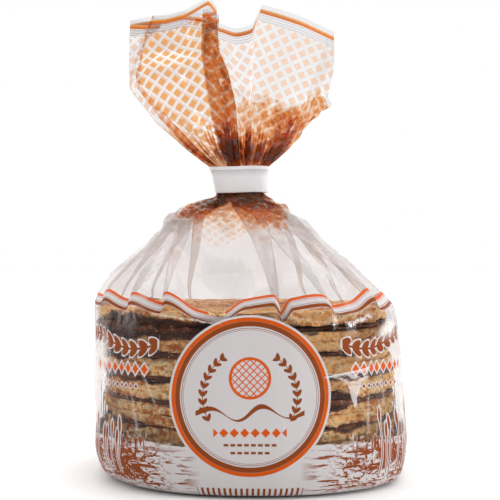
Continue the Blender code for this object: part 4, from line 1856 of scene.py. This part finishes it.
    def wave(self, points: Array, panel: Array, share: Array, t: Array) -> None:
        """Waves every panel a little, and the left flap more, near two thirds of its height.

        Args:
            points: The fan, which is changed in place.
            panel: Each column's panel.
            share: Each column's share of the way across its panel.
            t: Each row's share of the height.
        """
        free = eased(t / 0.5)
        across = np.sin(math.pi * share)[None, :]
        tall = points[..., 2]
        wave = self.grain.layered(panel * 5.0 + share * 2.2, t * 2.6 + 9.0, 2)
        points[..., 1] += 0.45 * wave * free * across
        sway = self.grain.layered(panel * 3.0 + share * 1.5, t * 4.0 + 60.0, 2)
        points[..., 0] += 0.3 * sway * free * across
        left = (points[..., 0] < -13.0) * eased((-13.0 - points[..., 0]) / 5.0)
        points[..., 1] += left * 1.6 * np.sin((tall - 128.0) / 4.2) * hump(tall, 133.0, 6.5)

    def pleat(self, points: Array, panel: Array, share: Array) -> None:
        """Gathers the film above the band in meander folds.

        Across a panel the film swings forward and back by the cosine of an angle, and sideways by the sine
        of twice that angle, which is how a meander runs. The folds die out between 10 and 22 mm up.

        Args:
            points: The fan, which is changed in place.
            panel: Each column's panel.
            share: Each column's share of the way across its panel.
        """
        tall = points[..., 2] - self.FOOT
        fade = 12.0 + 9.0 * self.grain(panel * 3.1 + share * 4.0, 0 * share + 9.5)
        envelope = eased(tall / 5.0) * (1 - eased((tall - 0.5 * fade[None, :]) / (1.1 * fade[None, :])))
        held = np.sin(math.pi * np.clip(share, 0, 1)) ** 0.3
        for number in range(panel.max() + 1):
            inside = np.nonzero(panel == number)[0]
            patch = points[:, inside]
            width = np.linalg.norm(np.diff(patch, axis=1), axis=2).sum(axis=1)[:, None]
            turns = max(1, round(float(width[self.rows // 4, 0]) / 5.5))
            warp = 1.1 * self.grain.layered(share[inside] * 3.0 + number * 7.0, 0 * share[inside] + 30.5, 2)
            angle = TURN * (turns * share[inside] + warp)[None, :]
            length = width / turns
            push = envelope[:, inside] * held[inside]
            outward = -1.0 if patch[..., 1].mean() < 0.5 else 1.0
            points[:, inside, 0] += push * 0.15 * length * np.sin(2 * angle)
            points[:, inside, 1] += outward * push * 0.36 * length * np.cos(angle)

    def map_onto(self, sheet: Sheet, points: Array, panel: Array) -> None:
        """Lays the print on the film, square to the hem.

        A point's place is its column's place along the hem, plus its sideways shift from the column's top
        and its true length below it, both turned by the hem's slope.

        Args:
            sheet: The fan's surface, which gets the map.
            points: The fan before its small pleats.
            panel: Each column's panel.
        """
        following = np.roll(points, -1, axis=1)
        left_u, right_u = np.zeros(points.shape[:2]), np.zeros(points.shape[:2])
        left_v, right_v = np.zeros(points.shape[:2]), np.zeros(points.shape[:2])
        stripes = [run[0].stripes for run in self.panels()]
        for number in range(panel.max() + 1):
            inside = np.nonzero(panel == number)[0]
            patch = np.concatenate([points[:, inside], following[:, inside[-1:]]], axis=1)
            hem = patch[-1]
            chord = hem[-1] - hem[0]
            turn = math.atan(float(np.clip(chord[2] / (chord[0] + 1e-6), -0.5, 0.5)))
            run = hem[:, 0] / math.cos(turn)
            tall = np.linalg.norm(np.diff(patch[..., 1:], axis=0), axis=2)
            below = np.concatenate([np.cumsum(tall[::-1], axis=0)[::-1], np.zeros((1, patch.shape[1]))])
            aside = patch[..., 0] - hem[None, :, 0]
            u = run[None, :] + aside * np.cos(turn) - below * np.sin(turn)
            v = aside * np.sin(turn) + below * np.cos(turn)
            v = v + (0.0 if stripes[number] else self.TURNED_IN)
            left_u[:, inside], right_u[:, inside] = u[:, :-1], u[:, 1:]
            left_v[:, inside], right_v[:, inside] = v[:, :-1], v[:, 1:]
        sheet.map_left = np.stack([left_u, -left_v], -1)
        sheet.map_right = np.stack([right_u, -right_v], -1)

    def shade(self, sheet: Sheet, smooth: Array, panel: Array, share: Array) -> None:
        """Tones: how much film lies gathered over film, how slack it is, and how hazy.

        Args:
            sheet: The fan's surface, which gets the tones.
            smooth: The fan before its waves and pleats.
            panel: Each column's panel.
            share: Each column's share of the way across its panel.
        """
        tall = smooth[..., 2] - self.FOOT
        along = panel * 11.0 + share * 9.0
        streak = self.grain.layered(along[None, :] * 1.3, tall * 0.04 + 160.0, 3)
        centre = hump(smooth[..., 0], -2.5, 11.5)
        gather = (0.30 + 0.95 * centre) * (1 - eased((tall - 3.0) / 14.0))
        gather = gather + streak * 0.35 * (1 - eased((tall - 8.0) / 14.0)) * (0.4 + 0.6 * centre)
        sheet.tones["slack"] = 0.3 + 0.5 * (1 - eased(tall / 26.0))
        runs = self.panels()
        plies = np.array([run[0].ply.value for run in runs])[panel]
        slumped = np.array([run[0].hem < self.SLUMPED_BELOW and not run[0].stripes for run in runs])[panel]
        across, up = smooth[..., 0], smooth[..., 2]
        edge = 118.0 + 4.5 * self.grain.layered(across * 0.22 + 40.0, panel[None, :] * 3.7 + 0 * up, 3)
        edge = edge + 2.0 * self.grain.layered(across * 0.45 + 90.0, up * 0.45, 2)
        fallen = eased((edge - up) / 0.8) * slumped[None, :] + (1.0 - slumped[None, :])
        inner = (plies[None, :, 2] > 0.5) & (across < 2.0) & (slumped[None, :] < 0.5)
        patchy = self.grain.layered(across * 0.25, up * 0.12 + 33.0, 2)
        gather = gather + 0.46 * inner * (0.7 + 1.1 * patchy)
        rusted = eased((edge - up) / 0.8) * eased((across - 1.5) / 3.0)
        gather = gather + 0.17 * rusted
        sheet.tones["gather"] = np.clip(gather, 0, 1)
        sheet.tones["printed"] = plies[None, :, 0] * fallen
        sheet.tones["doubled"] = plies[None, :, 1] + 0 * up
        crowded = 1 - eased((tall - 8.0 - 5.0 * streak) / 8.0)
        sheet.tones["heaped"] = np.maximum(np.maximum(plies[None, :, 2] * fallen, crowded), rusted)
        sheet.tones["veil"] = 0.05 + 0.04 * self.grain.layered(along[None, :] * 0.3, tall * 0.05 + 90.0, 2)


# ---------------------------------------------------------------- the band, the room, and the whole


@dataclass(frozen=True)
class NeckBand:
    """The flat white band: a strip pressed flat round the neck, with a folded hem along its top.

    Attributes:
        around: Points round the band.
        half_width: Of its inner face.
        half_depth: Of its inner face.
        squared: The power of cosine and sine in its oval; below 1 it is squarer.
        crease: Share of the height where the hem folds out, and where its painted shade lies.
    """

    around: int = 220
    half_width: float = 7.95 * MM
    half_depth: float = 3.35 * MM
    squared: float = 0.42
    crease: float = 0.845

    # in millimetres, the distance out from the inner face; then the share of the height
    SECTION = (
        (0.00, 0.02), (0.12, 0.0), (0.48, 0.0), (0.58, 0.02), (0.60, 0.06), (0.56, 0.30), (0.56, 0.60),
        (0.58, 0.835), (0.66, 0.85), (0.84, 0.868), (0.90, 0.89), (0.90, 0.965), (0.84, 0.99), (0.70, 1.0),
        (0.15, 1.0), (0.0, 0.98),
    )

    def build(self) -> bpy.types.Object:
        """Turns the section round a squared oval, whose left end leans out upwards."""
        section = np.array(self.SECTION)
        angle = np.arange(self.around) * TURN / self.around
        out, share = section[:, :1] * MM, section[:, 1:]
        width, depth = self.half_width + out, self.half_depth + out
        cosine, sine = np.cos(angle)[None, :], np.sin(angle)[None, :]
        x = width * np.sign(cosine) * np.abs(cosine) ** self.squared
        y = depth * np.sign(sine) * np.abs(sine) ** self.squared
        y *= 1.0 + 0.10 * (1 - (x / (9 * MM)) ** 2)
        leftward = np.clip(-x / (8.5 * MM), 0, 1)
        z = TIE_LOW.z + share * BAND_HEIGHT + 0 * x
        z += (0.12 * np.sin(x / (2.6 * MM)) + 0.035 * x / MM * 0.6) * MM * 0.6
        x = x - BAND_LEAN * share * leftward**2
        x += 0.35 * MM * (1 - share) * leftward**2
        points = np.stack([x + NECK_X, y, z], -1)
        points = np.concatenate([points, points[:1]])
        sheet = Sheet(points)
        share = np.concatenate([share, share[:1]])
        # worn: painted shade, a grey line under the hem's fold
        sheet.tones["worn"] = hump(share, self.crease, 0.02) + 0 * points[..., 0]
        piece = add_mesh("neck_band", [sheet], BandFinish().material())
        return piece


class Studio:
    """A white room: a pale floor, soft lights and the camera."""

    # how far round from front below to behind above, and how bright the room is there
    BRIGHTNESS = ((0.0, 0.20), (0.55, 0.24), (0.72, 0.80), (0.85, 1.5), (1.0, 1.6))
    # each lamp's name, place, size and power
    LAMPS = (
        ("key", (0.26, -0.45, 0.50), 0.40, 0.60),
        ("left", (-0.60, -0.08, 0.12), 0.24, 0.45),
        ("right", (0.55, -0.22, 0.14), 0.20, 0.9),
        ("top", (0.0, 0.05, 0.60), 0.40, 0.8),
    )
    BRIGHT_SIDE = (0.0, 0.34, 0.40)
    AIM = Vector((0.0, 0.0, 0.06))
    FLOOR_HALF, FLOOR_DROP = 3.0, 0.0004
    CAMERA_PLACE = (0.0, -0.360, 0.0694)
    FOCAL_LENGTH, SENSOR_WIDTH = 80.6, 36.0

    @staticmethod
    def world() -> None:
        """White to the camera. To everything else it is bright above and behind the bag, dim in front."""
        world = bpy.data.worlds.new("white_room")
        bpy.context.scene.world = world
        g = Graph(world)
        direction = g.add("ShaderNodeTexCoord", {}, {}).outputs["Generated"]
        sockets = {0: direction, 1: Studio.BRIGHT_SIDE}
        toward = g.add("ShaderNodeVectorMath", {"operation": "DOT_PRODUCT"}, sockets)
        height = Wire(g, toward.outputs["Value"]) + 0.5
        stops = [(place, (level, level, level)) for place, level in Studio.BRIGHTNESS]
        room = g.add("ShaderNodeValToRGB", {"stops": stops}, {0: height}).outputs[0]
        seen = Wire(g, g.add("ShaderNodeLightPath", {}, {}).outputs["Is Camera Ray"])
        background = g.add("ShaderNodeBackground", {}, {0: g.blend(seen, room, (1.0, 1.0, 1.0))})
        g.add("ShaderNodeOutputWorld", {}, {0: background.outputs[0]})

    @staticmethod
    def light(name: str, place: tuple[float, float, float], size: float, power: float) -> None:
        """A square soft light that looks at the bag's middle."""
        lamp = bpy.data.lights.new(name, "AREA")
        lamp.shape = "SQUARE"
        lamp.size = size
        lamp.energy = power
        source = bpy.data.objects.new(name, lamp)
        bpy.context.scene.collection.objects.link(source)
        source.location = place
        aim = Studio.AIM - Vector(place)
        source.rotation_euler = aim.to_track_quat("-Z", "Y").to_euler()

    @staticmethod
    def floor() -> None:
        """A pale plain floor just under the bag."""
        mesh = bpy.data.meshes.new("floor")
        half, level = Studio.FLOOR_HALF, BAG_LOW.z - Studio.FLOOR_DROP
        corners = [(-half, -half, level), (half, -half, level), (half, half, level), (-half, half, level)]
        mesh.from_pydata(corners, [], [(0, 1, 2, 3)])
        graph = Graph.of("floor_white")
        mesh.materials.append(graph.finished(graph.solid(Base_Color=(0.97, 0.97, 0.97), Roughness=0.9)))
        floor = bpy.data.objects.new("floor", mesh)
        bpy.context.scene.collection.objects.link(floor)

    @staticmethod
    def camera() -> None:
        """A level camera in front, a little below the bag's middle height."""
        lens = bpy.data.cameras.new("camera")
        lens.lens = Studio.FOCAL_LENGTH
        lens.sensor_width = Studio.SENSOR_WIDTH
        lens.clip_start = 0.01
        view = bpy.data.objects.new("camera", lens)
        view.location = Studio.CAMERA_PLACE
        view.rotation_euler = (math.radians(90), 0.0, 0.0)
        bpy.context.scene.collection.objects.link(view)
        bpy.context.scene.camera = view

    def build(self) -> None:
        """Sets up the room."""
        scene = bpy.context.scene
        scene.view_settings.view_transform = "Standard"
        scene.cycles.transparent_max_bounces = 48
        self.world()
        self.floor()
        for lamp in self.LAMPS:
            self.light(*lamp)
        self.camera()


def main() -> None:
    """Builds the waffles, both stretches of film, the band and the room."""
    logging.basicConfig(level=logging.INFO, format="%(message)s")
    pieces = WaffleStack().build()
    body = BodyFilm().build(BodyPrint().material())
    fan = FanFilm().build(FanPrint().material())
    pieces += [body, fan]
    for piece in pieces:
        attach(piece, "root")
        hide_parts("bag")
    band = NeckBand().build()
    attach(band, "root")
    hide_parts("tie")
    for piece in pieces + [band]:
        piece.data.calc_loop_triangles()
        LOG.info("%s: %d triangles", piece.name, len(piece.data.loop_triangles))
    Studio().build()
    LOG.info("the packed bag is %.1f mm tall", (BAG_HIGH.z - BAG_LOW.z) / MM)


if __name__ == "__main__":
    main()
